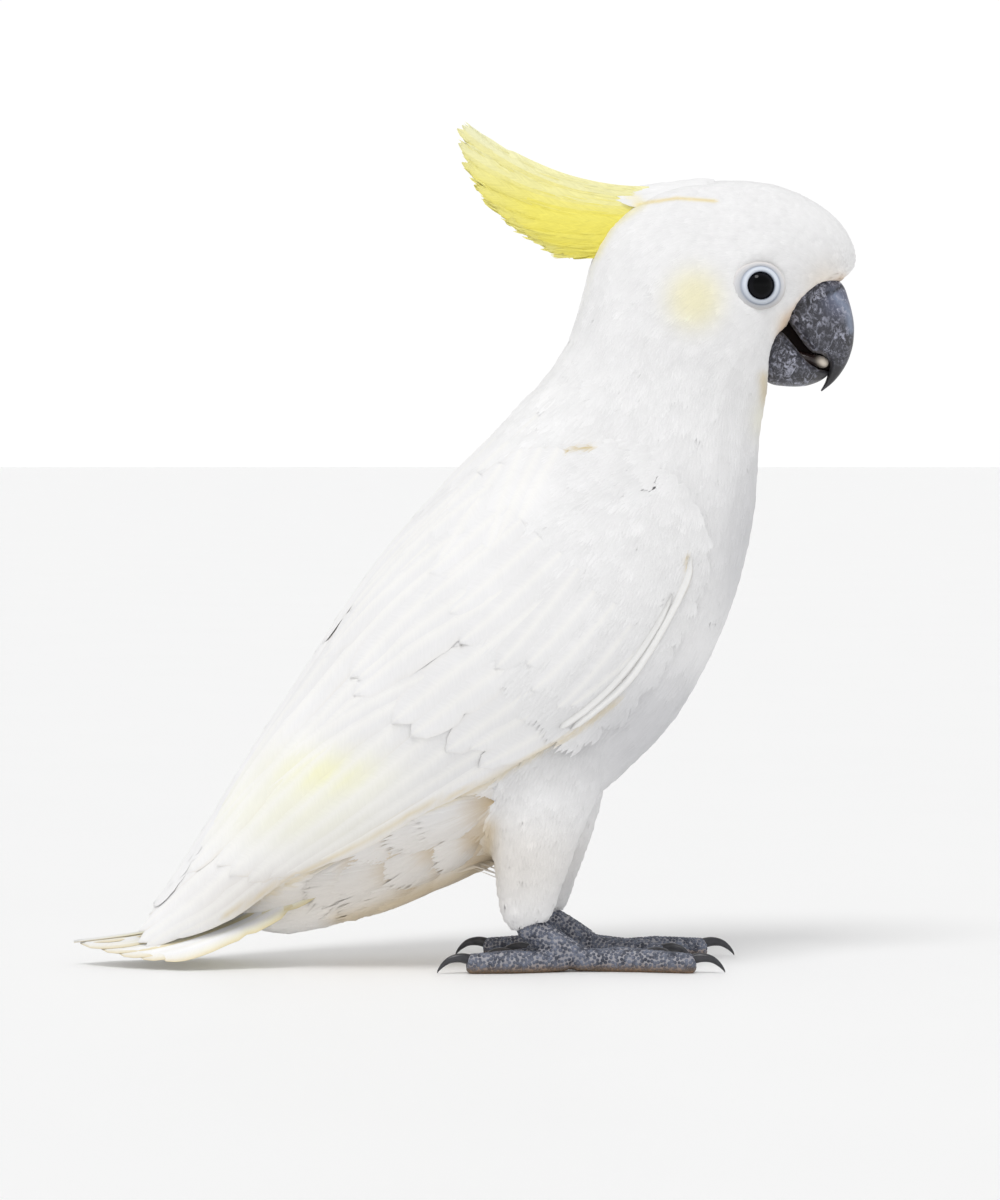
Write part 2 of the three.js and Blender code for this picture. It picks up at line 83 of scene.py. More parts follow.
ROOM_LIGHT = {"From Min": 0.18, "From Max": 0.45, "To Min": 1.02, "To Max": 0.62}  # from low to overhead
world = bpy.data.worlds.new("white_room")
world.use_nodes = True
room = world.node_tree
room.nodes["Background"].inputs["Color"].default_value = (1.0, 1.0, 1.0, 1)
backdrop = room.nodes.new("ShaderNodeTexCoord")
backdrop_split = room.nodes.new("ShaderNodeSeparateXYZ")
backdrop_light = room.nodes.new("ShaderNodeMapRange")
for socket, value in ROOM_LIGHT.items():
    backdrop_light.inputs[socket].default_value = value
room.links.new(backdrop.outputs["Generated"], backdrop_split.inputs["Vector"])
room.links.new(backdrop_split.outputs["Z"], backdrop_light.inputs["Value"])
room.links.new(backdrop_light.outputs["Result"], room.nodes["Background"].inputs["Strength"])
scene.world = world


def lamp(name, at, spread, strength):
    """A soft far lamp that shines from `at` towards the bird, `spread` degrees wide."""
    light = bpy.data.lights.new(name, "SUN")
    light.angle = math.radians(spread)
    light.energy = strength
    lit = linked(name, light)
    lit.location = at
    lit.rotation_euler = (AIM - Vector(at)).to_track_quat("-Z", "Y").to_euler()


lamp("overhead", (-0.22, -0.75, 1.8), 20, 1.15)


class Finish:
    """A procedural material: its Principled shader and the nodes that feed it."""

    def __init__(self, name, roughness, gloss=None):
        self.paint = bpy.data.materials.new(name)
        self.paint.use_nodes = True
        self.tree = self.paint.node_tree
        self.surface = self.tree.nodes["Principled BSDF"]
        self.surface.inputs["Roughness"].default_value = roughness
        if gloss is not None:
            self.surface.inputs["Specular IOR Level"].default_value = gloss

    def node(self, kind, links=(), **values):
        """A node with its settings made, and each socket linked to a source or set to a value."""
        new = self.tree.nodes.new(kind)
        for key, value in values.items():
            setattr(new, key, value)
        for socket, source in dict(links).items():
            if isinstance(source, bpy.types.NodeSocket):
                self.tree.links.new(source, new.inputs[socket])
            else:
                new.inputs[socket].default_value = source
        return new

    def feed(self, socket, source):
        """Links a source to one of the shader's own sockets."""
        self.tree.links.new(source, self.surface.inputs[socket])

    def space(self):
        """The piece's own coordinates, in metres."""
        return self.node("ShaderNodeTexCoord").outputs["Object"]

    def tint(self, part="Color"):
        """The colour, or the alpha beside it, that comes with the mesh."""
        return self.node("ShaderNodeVertexColor", layer_name="Tint").outputs[part]

    def grain(self, scale, detail=3.0):
        """Soft noise, `scale` of its lumps to the metre."""
        noise = self.node("ShaderNodeTexNoise", {"Vector": self.space(), "Scale": scale, "Detail": detail})
        return noise.outputs["Fac"]

    def cells(self, place, scale):
        """How far each place is from the edges of an irregular net of cells."""
        sockets = {"Vector": place, "Scale": scale}
        return self.node("ShaderNodeTexVoronoi", sockets, feature="DISTANCE_TO_EDGE").outputs["Distance"]

    def span(self, value, before, after=(0.0, 1.0)):
        """The value moved from one range into another, and held within it."""
        ends = {"From Min": before[0], "From Max": before[1], "To Min": after[0], "To Max": after[1]}
        return self.node("ShaderNodeMapRange", {"Value": value, **ends}).outputs["Result"]

    def math(self, operation, *terms):
        return self.node("ShaderNodeMath", enumerate(terms), operation=operation).outputs["Value"]

    def scaled(self, colour, by):
        made = self.node("ShaderNodeVectorMath", {0: colour, "Scale": by}, operation="SCALE")
        return made.outputs["Vector"]

    def blend(self, factor, low, high):
        """A colour between two, each of them three numbers or a source."""
        low, high = ((*c, 1) if isinstance(c, tuple) else c for c in (low, high))
        mixed = self.node("ShaderNodeMix", {"Factor": factor, "A": low, "B": high}, data_type="RGBA")
        return mixed.outputs["Result"]

    def bump(self, height, strength, depth):
        """Bump from a height, `depth` metres deep."""
        raised = self.node("ShaderNodeBump", {"Height": height, "Strength": strength, "Distance": depth})
        self.feed("Normal", raised.outputs["Normal"])


FLOOR_RADIUS, FLOOR_SIDES = 30.0, 48
pale_floor = Finish("pale_floor", 0.55, 0.2)
floor_tone = pale_floor.blend(pale_floor.grain(6.0), (0.94, 0.94, 0.94), (0.96, 0.96, 0.96))
pale_floor.feed("Base Color", floor_tone)
floor_mesh = bpy.data.meshes.new("floor")
floor_corners = [
    (FLOOR_RADIUS * math.cos(a), FLOOR_RADIUS * math.sin(a), 0.0)
    for a in np.linspace(0, 2 * math.pi, FLOOR_SIDES, endpoint=False)
]
floor_mesh.from_pydata(floor_corners, [], [list(range(FLOOR_SIDES))])
floor_mesh.materials.append(pale_floor.paint)
floor = linked("floor", floor_mesh)

# ------------------------------------------------------------------ skin
# One skin over the head, neck, trunk, rump, legs and wings. It is made by joining copies of those
# solids, melting them together and letting the result sink in by the depth of the coat.

COAT_DEPTH = 0.0012
UNDER_WING_DEPTH = 0.0010  # how much deeper the skin lies under the folded wing
SHOULDER_RISE = 0.0016  # and how far it comes up again under the short coverts of the shoulder
SKIN_SHADE = 0.93
FLESH = ["head", "neck", "trunk", "rump", "thigh_right", "thigh_left", "wing_right", "wing_left"]


def arrays_of(mesh):
    points = np.empty(len(mesh.vertices) * 3)
    mesh.vertices.foreach_get("co", points)
    return points.reshape(-1, 3)


def joined(names, swell, more=()):
    """Copies of the named solids in one mesh, each swollen a little so that the cuts between them close."""
    bm = bmesh.new()
    for mesh in more:
        bm.from_mesh(mesh)
    for name in names:
        one = bmesh.new()
        one.from_mesh(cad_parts[name].data)
        bmesh.ops.remove_doubles(one, verts=one.verts, dist=1e-5)
        one.normal_update()
        for vert in one.verts:
            vert.co += vert.normal * swell
        copy = bpy.data.meshes.new("copy")
        one.to_mesh(copy)
        one.free()
        bm.from_mesh(copy)
        bpy.data.meshes.remove(copy)
    mesh = bpy.data.meshes.new("joined")
    bm.to_mesh(mesh)
    bm.free()
    return mesh


def with_modifiers(mesh, *settings):
    """The mesh after the given modifiers, each a (type, values) pair, as a plain mesh."""
    carrier = linked("carrier", mesh)
    for kind, values in settings:
        modifier = carrier.modifiers.new(kind.lower(), kind)
        for key, value in values.items():
            setattr(modifier, key, value)
    ready = carrier.evaluated_get(bpy.context.evaluated_depsgraph_get())
    result = bpy.data.meshes.new_from_object(ready)
    bpy.data.objects.remove(carrier)
    return result


def melted(names, voxel, rounds, swell=0.0003, more=()):
    return with_modifiers(
        joined(names, swell, more),
        ("REMESH", {"mode": "VOXEL", "voxel_size": voxel, "use_smooth_shade": True}),
        ("SMOOTH", {"factor": 0.5, "iterations": rounds}),
    )


def normals_of(mesh):
    normals = np.empty(len(mesh.vertices) * 3)
    mesh.vertices.foreach_get("normal", normals)
    return normals.reshape(-1, 3)


def tinted(mesh, colours):
    """Gives a mesh its own colours, and alpha if there is a fourth column, for its material to read."""
    tint = mesh.color_attributes.new("Tint", "FLOAT_COLOR", "POINT")
    rgba = np.ones((len(mesh.vertices), 4))
    rgba[:, : colours.shape[-1]] = colours
    tint.data.foreach_set("color", rgba.ravel())
    return mesh


def unit(ways):
    return ways / np.maximum(np.linalg.norm(ways, axis=-1, keepdims=True), 1e-12)


def sunk(mesh, depth):
    """The mesh let in by a depth, one number or one for each of its points."""
    points = arrays_of(mesh) - normals_of(mesh) * np.reshape(depth, (-1, 1))
    mesh.vertices.foreach_set("co", points.ravel())
    mesh.update()
    return mesh


class Surface:
    """A smooth surface that feathers are laid on: the nearest place on it and its normal there."""

    def __init__(self, mesh):
        self.points = arrays_of(mesh)
        self.normals = normals_of(mesh)
        self.faces = [tuple(p.vertices) for p in mesh.polygons]
        self.tree = BVHTree.FromPolygons([tuple(p) for p in self.points], self.faces)
        self.quads = np.array([f if len(f) == 4 else f + (f[-1],) for f in self.faces])

    def nearest(self, places):
        """For an array of places (..., 3): where each one lands, and the smooth normal there."""
        shape = places.shape
        flat = places.reshape(-1, 3)
        found = [self.tree.find_nearest(p) for p in flat.tolist()]
        at = np.array([f[0] for f in found])
        quads = self.quads[[f[2] for f in found]]
        spans = np.linalg.norm(self.points[quads] - at[:, None], axis=2)
        weights = 1 / (spans**2 + 1e-9)
        normal = unit((self.normals[quads] * weights[..., None]).sum(1))
        return at.reshape(shape), normal.reshape(shape)


def piece(name, mesh, material, slot, *replaced):
    """Links a finished mesh as a piece of the bird that rides on its one body."""
    made = linked(name, mesh)
    mesh.materials.clear()
    mesh.materials.append(material)
    if not mesh.has_custom_normals:
        mesh.polygons.foreach_set("use_smooth", np.ones(len(mesh.polygons), dtype=bool))
    if replaced:
        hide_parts(*replaced)
    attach(made, "root")


ORIGIN = 0.6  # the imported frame's x, in mm, of the drawing's upright axis through the middle of the bird


def side_view(places):
    """The x and z of places as seen from the side of the bird, in mm."""
    return places[..., 0] * 1000 - ORIGIN, places[..., 2] * 1000


def gap_from(spots, start, end):
    """How far spots of the side view are from the line between two corners, in mm."""
    run = end - start
    share = np.clip(((spots - start) * run).sum(-1) / (run**2).sum(), 0, 1)
    return np.linalg.norm(spots - start - share[..., None] * run, axis=-1)


def glow(places, centre, reach, power=2.0):
    """1 at a centre on the side of the bird and falling to 0 past `reach`, both in mm (x, z)."""
    x, z = side_view(places)
    x, z = (x - centre[0]) / reach[0], (z - centre[1]) / reach[1]
    return np.exp(-((x**2 + z**2) ** (power / 2)))


def beside(places, line, reach):
    """1 on a line on the side of the bird (corners x, z in mm), fading out within about `reach` of it."""
    spots = np.stack(side_view(places), axis=-1)
    corners = np.array(line, dtype=float)
    gaps = [gap_from(spots, start, end) for start, end in zip(corners[:-1], corners[1:])]
    return np.exp(-((np.min(gaps, axis=0) / reach) ** 2))


def towards(colour, target, amount):
    """Colours moved part of the way to another one, by an amount of 0 to 1 for each."""
    return colour + (np.asarray(target) - colour) * np.asarray(amount)[..., None]


CREST_LINE = [(68, 318.6), (75, 319.4), (88, 321.2), (104, 319.8)]
CREST_SEAT = [(67, 325), (73.8, 319), (61, 310), (55, 298)]
WING_EDGE = [(62, 114), (45, 101.5), (6, 77.5), (-20, 67.5), (-57, 46), (-100, 22)]
FACE_EDGE = [(131, 263), (133.3, 271.1), (141.3, 279.1), (148.8, 282.6), (157, 288)]
VENT_FOLD = [(10, 60), (9, 44), (-20, 32), (-53, 20)]
THROAT_FOLD = [(123.5, 247), (124.5, 238)]
SHOULDER_FOLD = [(42, 216.4), (46, 217.2), (52, 217.6)]
WRIST_FOLD = [(90.5, 173), (91.2, 166), (89, 159)]
WHITE = np.array([0.925, 0.922, 0.926])
EAR_YELLOW = (0.95, 0.90, 0.60)
FACE_CREAM = (0.90, 0.76, 0.58)
FACE_RUST = (0.80, 0.56, 0.34)
CROWN_GOLD = (0.88, 0.70, 0.26)
SEAT_GOLD = (0.93, 0.84, 0.40)
# warm painted shade for the underside, where less light reaches
WARM_PAINTED_SHADE = (0.70, 0.63, 0.54)
SHADED = (0.68, 0.68, 0.70)
# golden-brown painted shade, for folds, gaps and the overlapping edges of the tail feathers
GOLDEN_SHADE = np.array([0.70, 0.53, 0.19])
# golden brown under the vent, partly stain and partly painted shade
UNDER_GOLD_STAIN_AND_SHADE = (0.62, 0.46, 0.22)


def body_tint(places):
    """The plumage colours by place: white, with a pale yellow ear patch, a cream edge to the face, painted
    grey shade on the breast and lower front, a warmer painted shade under the belly and tail, and
    golden-brown painted shade in the folds and along the wing's lower edge."""
    colour = np.broadcast_to(WHITE, places.shape)
    for strength, shape, target in (
        (0.85, glow(places, (94.5, 279), (11.5, 12.5), 3), EAR_YELLOW),
        (0.55, glow(places, (150, 284), (8, 9)), FACE_CREAM),
        (0.6, glow(places, (133, 267), (4.5, 6)), FACE_CREAM),
        (0.5, glow(places, (124, 229), (5, 8)), EAR_YELLOW),
        (0.6, beside(places, FACE_EDGE, 2.4), FACE_RUST),
        # painted shade: grey over the breast and the lower front of the body, where less light falls
        (1.0, glow(places, (128, 165), (24, 55), 3), SHADED),
        (1.0, glow(places, (90, 95), (44, 32), 3), SHADED),
        # painted warm shade under the belly and tail, where less light falls
        (0.45, glow(places, (-5, 46), (50, 20), 3), WARM_PAINTED_SHADE),
        (0.5, glow(places, (-60, 28), (45, 16), 3), WARM_PAINTED_SHADE),
        (0.7, beside(places, CREST_LINE, 0.75), CROWN_GOLD),
        (0.5, beside(places, CREST_SEAT, 1.8), SEAT_GOLD),
        # golden-brown painted shade in the folds of the throat, shoulder and wrist
        (0.5, beside(places, THROAT_FOLD, 2.4), GOLDEN_SHADE),
        (0.75, beside(places, SHOULDER_FOLD, 0.8), GOLDEN_SHADE),
        (0.6, beside(places, WRIST_FOLD, 0.9), GOLDEN_SHADE),
        # golden brown along the fold of the vent, partly stain and partly painted shade
        (0.6, beside(places, VENT_FOLD, 4.0), UNDER_GOLD_STAIN_AND_SHADE),
        # golden-brown painted shade in the gap under the wing's lower edge
        (0.42, beside(places, WING_EDGE, 1.3), GOLDEN_SHADE),
    ):
        colour = towards(colour, target, strength * shape)
    return colour


def face_zone(places):
    """How near each place is to the bill and eyes: 1 on the face, falling to 0 on the nape."""
    x, z = side_view(places)
    return np.clip((x - 60 + (z - 275) * 0.35) / 75, 0, 1) * np.clip((z - 238) / 22, 0, 1)


# The outline of a folded wing from the side, x and z in mm.
WING_OUTLINE = [
    (42, 214.5), (58, 217.5), (74, 213.5), (86.5, 203), (94, 186), (93, 170), (81, 142), (65.5, 120.5),
    (45, 104), (6, 79.5), (-20, 69.5), (-57, 48), (-103, 22), (-128, 12), (-140, 9.4), (-150, 20),
    (-125, 70), (-92, 125), (-62, 162), (-30, 189), (-6, 204), (20, 212),
]


def within(places, outline):
    """How far inside an outline of the side view each place is, in mm, and below 0 outside it."""
    spots = np.stack(side_view(places), axis=-1)
    inside = np.zeros(spots.shape[:-1], dtype=bool)
    near = np.full(spots.shape[:-1], np.inf)
    corners = np.array(outline, dtype=float)
    for start, end in zip(corners, np.roll(corners, -1, axis=0)):
        near = np.minimum(near, gap_from(spots, start, end))
        above = (start[1] > spots[..., 1]) != (end[1] > spots[..., 1])
        run = end - start
        crossing = start[0] + run[0] * (spots[..., 1] - start[1]) / (run[1] if run[1] else 1e-9)
        inside ^= above & (spots[..., 0] < crossing)
    return np.where(inside, near, -near)


def down_wing(places):
    """How far each place is down the folded wing from the shoulder, in mm."""
    return (80 + ORIGIN - places[..., 0] * 1000) * 0.745 + (205 - places[..., 2] * 1000) * 0.667


skin_mesh = melted(FLESH, 0.0019, 6)
bare = arrays_of(skin_mesh)
on_shoulder = np.clip(within(bare, WING_OUTLINE) / 7, 0, 1) * np.clip((118 - down_wing(bare)) / 25, 0, 1)
under_wing = np.clip(within(bare, WING_OUTLINE) / 4, 0, 1)
sunk(skin_mesh, COAT_DEPTH + UNDER_WING_DEPTH * under_wing - SHOULDER_RISE * on_shoulder)
skin_surface = Surface(skin_mesh)
tinted(skin_mesh, body_tint(arrays_of(skin_mesh)) * SKIN_SHADE)

down_and_skin = Finish("down_and_skin", 0.9, 0.1)
down_and_skin.feed("Base Color", down_and_skin.tint())
down_and_skin.bump(down_and_skin.grain(700.0, 4.0), 0.5, 0.001)
piece("skin", skin_mesh, down_and_skin.paint, "plumage", *FLESH)

# ------------------------------------------------------------------ body coat
# Contour feathers over the head, neck, trunk and legs. Each is a fan of thin tapering locks of barbs
# that spring from one root and lie along the body, its tip a little proud of the row behind it.

# The lie of the coat on the side of the bird: x, z in mm and the way the feathers point there.
LIE = [
    (162, 298, -0.3, 0.95), (155, 311, -0.75, 0.65), (140, 322, -0.95, 0.3), (125, 328, -1, 0.06),
    (100, 330, -1, -0.02), (76, 325, -1, 0.08), (62, 312, -0.9, -0.3), (52, 296, -0.45, -0.9),
    (148, 290, -0.85, 0.5), (140, 280, -0.95, 0.1), (136, 268, -0.85, -0.55), (123, 301, -1, 0.05),
    (107, 288, -0.97, -0.2), (112, 273, -0.8, -0.6), (128, 262, -0.5, -0.86), (132, 252, -0.3, -0.95),
    (124, 240, -0.1, -1), (94, 280, -0.75, -0.66), (72, 292, -0.7, -0.7), (45, 268, -0.5, -0.86),
    (85, 250, -0.3, -0.95), (122, 222, 0.02, -1), (8, 220, -0.78, -0.62), (-30, 170, -0.6, -0.8),
    (120, 190, -0.12, -0.99), (112, 150, -0.36, -0.93), (88, 103, -0.68, -0.73), (60, 75, -0.88, -0.47),
    (30, 55, -0.95, -0.3), (-20, 34, -0.95, -0.3), (-75, 20, -0.97, -0.2), (60, 180, -0.3, -0.95),
]
LEG_LIE = [(40, 75, -0.35, -0.94), (33, 45, -0.1, -1), (26, 22, 0.1, -1)]


def lie_at(places, guides=LIE):
    """The direction of the coat at each place, before it is laid flat on the surface."""
    guide = np.array(guides, dtype=float)
    x, z = side_view(places)
    gap = (x[..., None] - guide[:, 0]) ** 2 + (z[..., None] - guide[:, 1]) ** 2
    weight = 1 / (gap + 30) ** 2
    mixed = (weight[..., None] * guide[:, 2:]).sum(-2)
    return unit(np.stack([mixed[..., 0], np.zeros_like(x), mixed[..., 1]], axis=-1))


def flat_on(normals, ways):
    """The given directions laid into the plane across each normal."""
    return unit(ways - normals * (ways * normals).sum(-1, keepdims=True))


def strewn(surface, keep, spacing, seed, tries):
    """Roots strewn over a surface where `keep` allows, never nearer together than `spacing` there."""
    chance = np.random.default_rng(seed)
    corners = surface.points[surface.quads]
    edge_a, edge_b = corners[:, 1] - corners[:, 0], corners[:, 3] - corners[:, 0]
    area = np.linalg.norm(np.cross(edge_a, edge_b), axis=1) * keep(corners.mean(1))
    picked = chance.choice(len(area), size=tries, p=area / area.sum())
    u, v = chance.random(tries)[:, None], chance.random(tries)[:, None]
    a, b, c, d = (corners[picked, i] for i in range(4))
    places = a * (1 - u) * (1 - v) + b * u * (1 - v) + c * u * v + d * (1 - u) * v
    apart = np.broadcast_to(spacing(places), tries)
    cell = float(apart.max())
    keys = np.floor(places / cell).astype(int).tolist()
    around = list(itertools.product((-1, 0, 1), repeat=3))
    grid, kept = {}, []
    for i, ((kx, ky, kz), (x, y, z), gap) in enumerate(zip(keys, places.tolist(), apart.tolist())):
        others = (other for dx, dy, dz in around for other in grid.get((kx + dx, ky + dy, kz + dz), ()))
        if all((x - p) ** 2 + (y - q) ** 2 + (z - r) ** 2 >= gap * gap for p, q, r in others):
            grid.setdefault((kx, ky, kz), []).append((x, y, z))
            kept.append(i)
    return places[kept]


BODY_LINE = [(165, 285), (105, 285), (78, 235), (40, 160), (-5, 85), (-80, 45), (-170, 12)]
BODY_AXIS = np.array([((x + ORIGIN) * 0.001, 0.0, z * 0.001) for x, z in BODY_LINE])


def unwrapped(places):
    """Where places fall on a map of the bird: how far round its body line and how far along it."""
    starts, ends = BODY_AXIS[:-1], BODY_AXIS[1:]
    spans = ends - starts
    lengths = np.linalg.norm(spans, axis=1)
    before = np.concatenate(([0], np.cumsum(lengths)[:-1]))
    offset = places[:, None] - starts
    share = np.clip((offset * spans).sum(-1) / lengths**2, 0, 1)
    foot = starts + spans * share[..., None]
    gap = np.linalg.norm(places[:, None] - foot, axis=2)
    best = gap.argmin(1)
    rows = np.arange(len(places))
    along = before[best] + share[rows, best] * lengths[best]
    out = places - foot[rows, best]
    axis = spans[best] / lengths[best][:, None]
    up = np.stack([-axis[:, 2], np.zeros(len(places)), axis[:, 0]], axis=1)
    angle = np.arctan2(out[:, 1], (out * up).sum(1))
    turned = angle / (2 * math.pi) + 0.5
    return np.stack([0.03 + 0.94 * turned, 0.03 + 0.9 * along / lengths.sum()], axis=1)


PATCH = 0.003  # how much of the map one lock or blade takes up


def mesh_of(name, points, corners, sizes, colours, bake, soft, vane=None):
    """A mesh from arrays, with its colours and maps, and `soft` normals for the corners of its faces."""
    mesh = bpy.data.meshes.new(name)
    mesh.vertices.add(len(points))
    mesh.vertices.foreach_set("co", points.ravel())
    mesh.loops.add(len(corners))
    mesh.loops.foreach_set("vertex_index", corners.astype(np.int32))
    mesh.polygons.add(len(sizes))
    starts = np.concatenate(([0], np.cumsum(sizes)[:-1])).astype(np.int32)
    mesh.polygons.foreach_set("loop_start", starts)
    mesh.update(calc_edges=True)
    tinted(mesh, colours)
    if vane is not None:
        mesh.uv_layers.new(name="Vane").data.foreach_set("uv", vane[corners].ravel())
    mesh.uv_layers.new(name="OFBake").data.foreach_set("uv", bake[corners].ravel())
    mesh.validate()
    mesh.polygons.foreach_set("use_smooth", np.ones(len(mesh.polygons), dtype=bool))
    mesh.normals_split_custom_set(unit(soft))
    return mesh


SOFT_LEAN = 0.35  # how much the edges of a lock turn away in its shading
SUNK_EDGE = 1.3  # how far the edges of a lock are let into the layer beneath, in its own thickness


def locks_mesh(name, centres, normals, widths, thick, colours, bake_at):
    """Tapering closed locks, each a three-sided strand along `centres` (locks, stations, 3)."""
    count, stations = centres.shape[:2]
    side = unit(np.cross(normals, unit(np.gradient(centres, axis=1))))
    body = slice(0, stations - 1)
    half = widths[:, body, None] / 2
    rise = thick[:, body, None]
    ring = np.stack(
        [
            centres[:, body] + side[:, body] * half - normals[:, body] * rise * SUNK_EDGE,
            centres[:, body] + normals[:, body] * rise * 0.5,
            centres[:, body] - side[:, body] * half - normals[:, body] * rise * SUNK_EDGE,
        ],
        axis=2,
    )
    points = np.concatenate([ring.reshape(count, -1, 3), centres[:, -1:]], axis=1)
    each = points.shape[1]
    quads = []
    for s in range(stations - 2):
        for k in range(3):
            a, b = 3 * s + k, 3 * s + (k + 1) % 3
            quads.append((a, b, b + 3, a + 3))
    last = 3 * (stations - 2)
    triangles = [(2, 1, 0)] + [(last + k, last + (k + 1) % 3, each - 1) for k in range(3)]
    pattern = np.concatenate([np.ravel(quads), np.ravel(triangles)])
    sizes = np.tile([4] * len(quads) + [3] * len(triangles), count)
    corners = (np.arange(count)[:, None] * each + pattern).ravel()
    flat_colours = np.repeat(colours, 3, axis=1)[:, : 3 * (stations - 1)]
    flat_colours = np.concatenate([flat_colours, colours[:, -1:]], axis=1).reshape(-1, 3)
    share = np.concatenate([np.repeat(np.arange(stations - 1), 3), [stations - 1]]) / (stations - 1)
    across = np.concatenate([np.tile([-0.5, 0.0, 0.5], stations - 1), [0.0]])
    patch = np.stack([across * 0.4, share - 0.5], axis=1) * PATCH
    bake = (bake_at[:, None] + patch).reshape(-1, 2)
    lean = np.array([SOFT_LEAN, 0.0, -SOFT_LEAN])[None, None, :, None]
    soft = normals[:, body, None] + side[:, body, None] * lean
    soft = np.concatenate([soft.reshape(count, -1, 3), normals[:, -1:]], axis=1).reshape(-1, 3)[corners]
    below = [k == 2 for s in range(stations - 2) for k in range(3) for _ in range(4)]
    below += [False] * 9 + [True] * 3
    soft = soft * np.where(np.tile(below, count), -1, 1)[:, None]
    return mesh_of(name, points.reshape(-1, 3), corners, sizes, flat_colours, bake, soft)


# golden brown, partly stain and partly painted shade deep between the puffs
STAIN_AND_SHADE = (0.58, 0.44, 0.26)  # the golden-brown foot of the under feathers


def fans(surface, roots, ways, length, width, locks, rise, seed, stations=4, lock_width=1.6, flop=0.10,
         base=0.0001, curve=0.0, tint=body_tint, loose=0.0, foot_stain_and_shade=0.0, puff=0.0):
    """Contour feathers as fans of locks. Arrays have one entry for each feather. `flop` turns feathers
    aside, `loose` lifts them unevenly, `curve` bends their locks, `foot_stain_and_shade` darkens their feet and `puff`
    rounds them over."""
    chance = np.random.default_rng(seed)
    count = len(roots)
    ground, normal = surface.nearest(roots)
    way = flat_on(normal, ways)
    swing = chance.normal(0, flop, count)[:, None]
    side = np.cross(normal, way)
    way = way * np.cos(swing) + side * np.sin(swing)
    side = np.cross(normal, way)
    size = length * chance.uniform(0.85, 1.15, count)
    fan = np.linspace(-1, 1, locks)
    share = np.linspace(0, 1, stations)
    reach = 1 - 0.30 * np.abs(fan) ** 2.2
    wobble = chance.normal(0, 0.06, (count, locks))
    straight = size[:, None, None] * (reach + wobble)[..., None] * share
    outward = width[:, None, None] / 2 * (fan + wobble)[..., None] * np.sin(share * 1.45) ** 0.75
    outward = outward + curve * straight * share * chance.choice([-1, 1], count)[:, None, None]
    ways, sides = way[:, None, None], side[:, None, None]
    places = ground[:, None, None] + ways * straight[..., None] + sides * outward[..., None]
    laid, up = surface.nearest(places)
    loose, foot_stain_and_shade = (np.broadcast_to(v, count)[:, None, None] for v in (loose, foot_stain_and_shade))
    tilt = 1 + chance.normal(0, 1, (count, 1, 1)) * (0.09 + 0.22 * loose)
    tilt = tilt + chance.normal(0, 1, (count, locks, 1)) * (0.04 + 0.06 * loose)
    domed = 1 - (0.35 + 0.5 * puff) * np.abs(fan)[:, None] ** 2
    tucked = np.interp(share, [0, 0.3, 0.6, 0.85, 1], [0, 0.38, 0.72, 0.8, 0.45 - 0.2 * puff])
    height = base + rise[:, None, None] * tilt * tucked * domed
    centres = laid + up * height[..., None]
    if puff:
        up = unit(up + puff * (sides * fan[:, None, None] * 0.9 + ways * (share[:, None] - 0.4)))
    profile = np.interp(share, [0, 0.25, 0.7, 0.9, 1], [0.8, 1.0, 1.0, 0.7, 0.0])
    strand = (width[:, None, None] / locks * lock_width) * profile * np.ones((count, locks, 1))
    thick = np.minimum(strand * 0.22, 0.0004)
    # painted shade: each feather a little darker towards its root, where the feathers over it shade it
    hue = tint(laid) * np.interp(share, [0, 0.7, 1], [0.94, 0.985, 1.0])[:, None]
    hue = hue * chance.normal(1, 0.018, (count, 1, 1, 1)) * chance.normal(1, 0.01, (count, locks, 1, 1))
    # the feet of the feathers turned golden brown, partly stain and partly painted shade
    hue = towards(hue, STAIN_AND_SHADE, foot_stain_and_shade * np.clip(1 - share / 0.55, 0, 1))
    hue = np.broadcast_to(np.minimum(hue, 0.97), (count, locks, stations, 3))
    bake = unwrapped(ground)
    return (
        centres.reshape(-1, stations, 3), up.reshape(-1, stations, 3), strand.reshape(-1, stations),
        thick.reshape(-1, stations), hue.reshape(-1, stations, 3), np.repeat(bake, locks, axis=0),
    )


def plumage(name, roughness=0.75, barbs=0.0, slope=0.62, streak=0.03):
    """White feather: chalky, faintly glossy barbs whose colour comes with the mesh. Vaned feathers have
    slanting ridges too, `barbs` of them to the centimetre and `slope` steep, with faint streaks."""
    finish = Finish(name, roughness, 0.22)
    finish.surface.inputs["Sheen Weight"].default_value = 0.15
    finish.surface.inputs["Sheen Roughness"].default_value = 0.6
    cloudy = finish.span(finish.grain(45.0, 2.0), (0.3, 0.7), (0.965, 1.0))
    colour = finish.scaled(finish.tint(), cloudy)
    height, strength, depth = finish.grain(900.0), 0.25, 0.0004
    if barbs:
        vane = finish.node("ShaderNodeUVMap", uv_map="Vane").outputs["UV"]
        split = finish.node("ShaderNodeSeparateXYZ", {"Vector": vane})
        across, along = split.outputs["X"], split.outputs["Y"]
        slant = finish.math("MULTIPLY_ADD", finish.math("ABSOLUTE", across), -slope, along)
        ridge = finish.math("SINE", finish.math("MULTIPLY", slant, barbs))
        barb_way = finish.node("ShaderNodeCombineXYZ", {"X": slant, "Y": across}).outputs["Vector"]
        drawn_out = {"Vector": barb_way, "Scale": (16 / (1 + slope), 2.0, 1)}
        place = finish.node("ShaderNodeMapping", drawn_out).outputs["Vector"]
        veins = {"Vector": place, "Scale": 1.0, "Detail": 4.0}
        vein = finish.node("ShaderNodeTexNoise", veins).outputs["Fac"]
        colour = finish.scaled(colour, finish.span(vein, (0.35, 0.65), (1 - streak, 1.0)))
        height, strength, depth = finish.math("MULTIPLY_ADD", ridge, 0.35, vein), 0.14, 0.0002
    finish.feed("Base Color", colour)
    finish.bump(height, strength, depth)
    return finish.paint


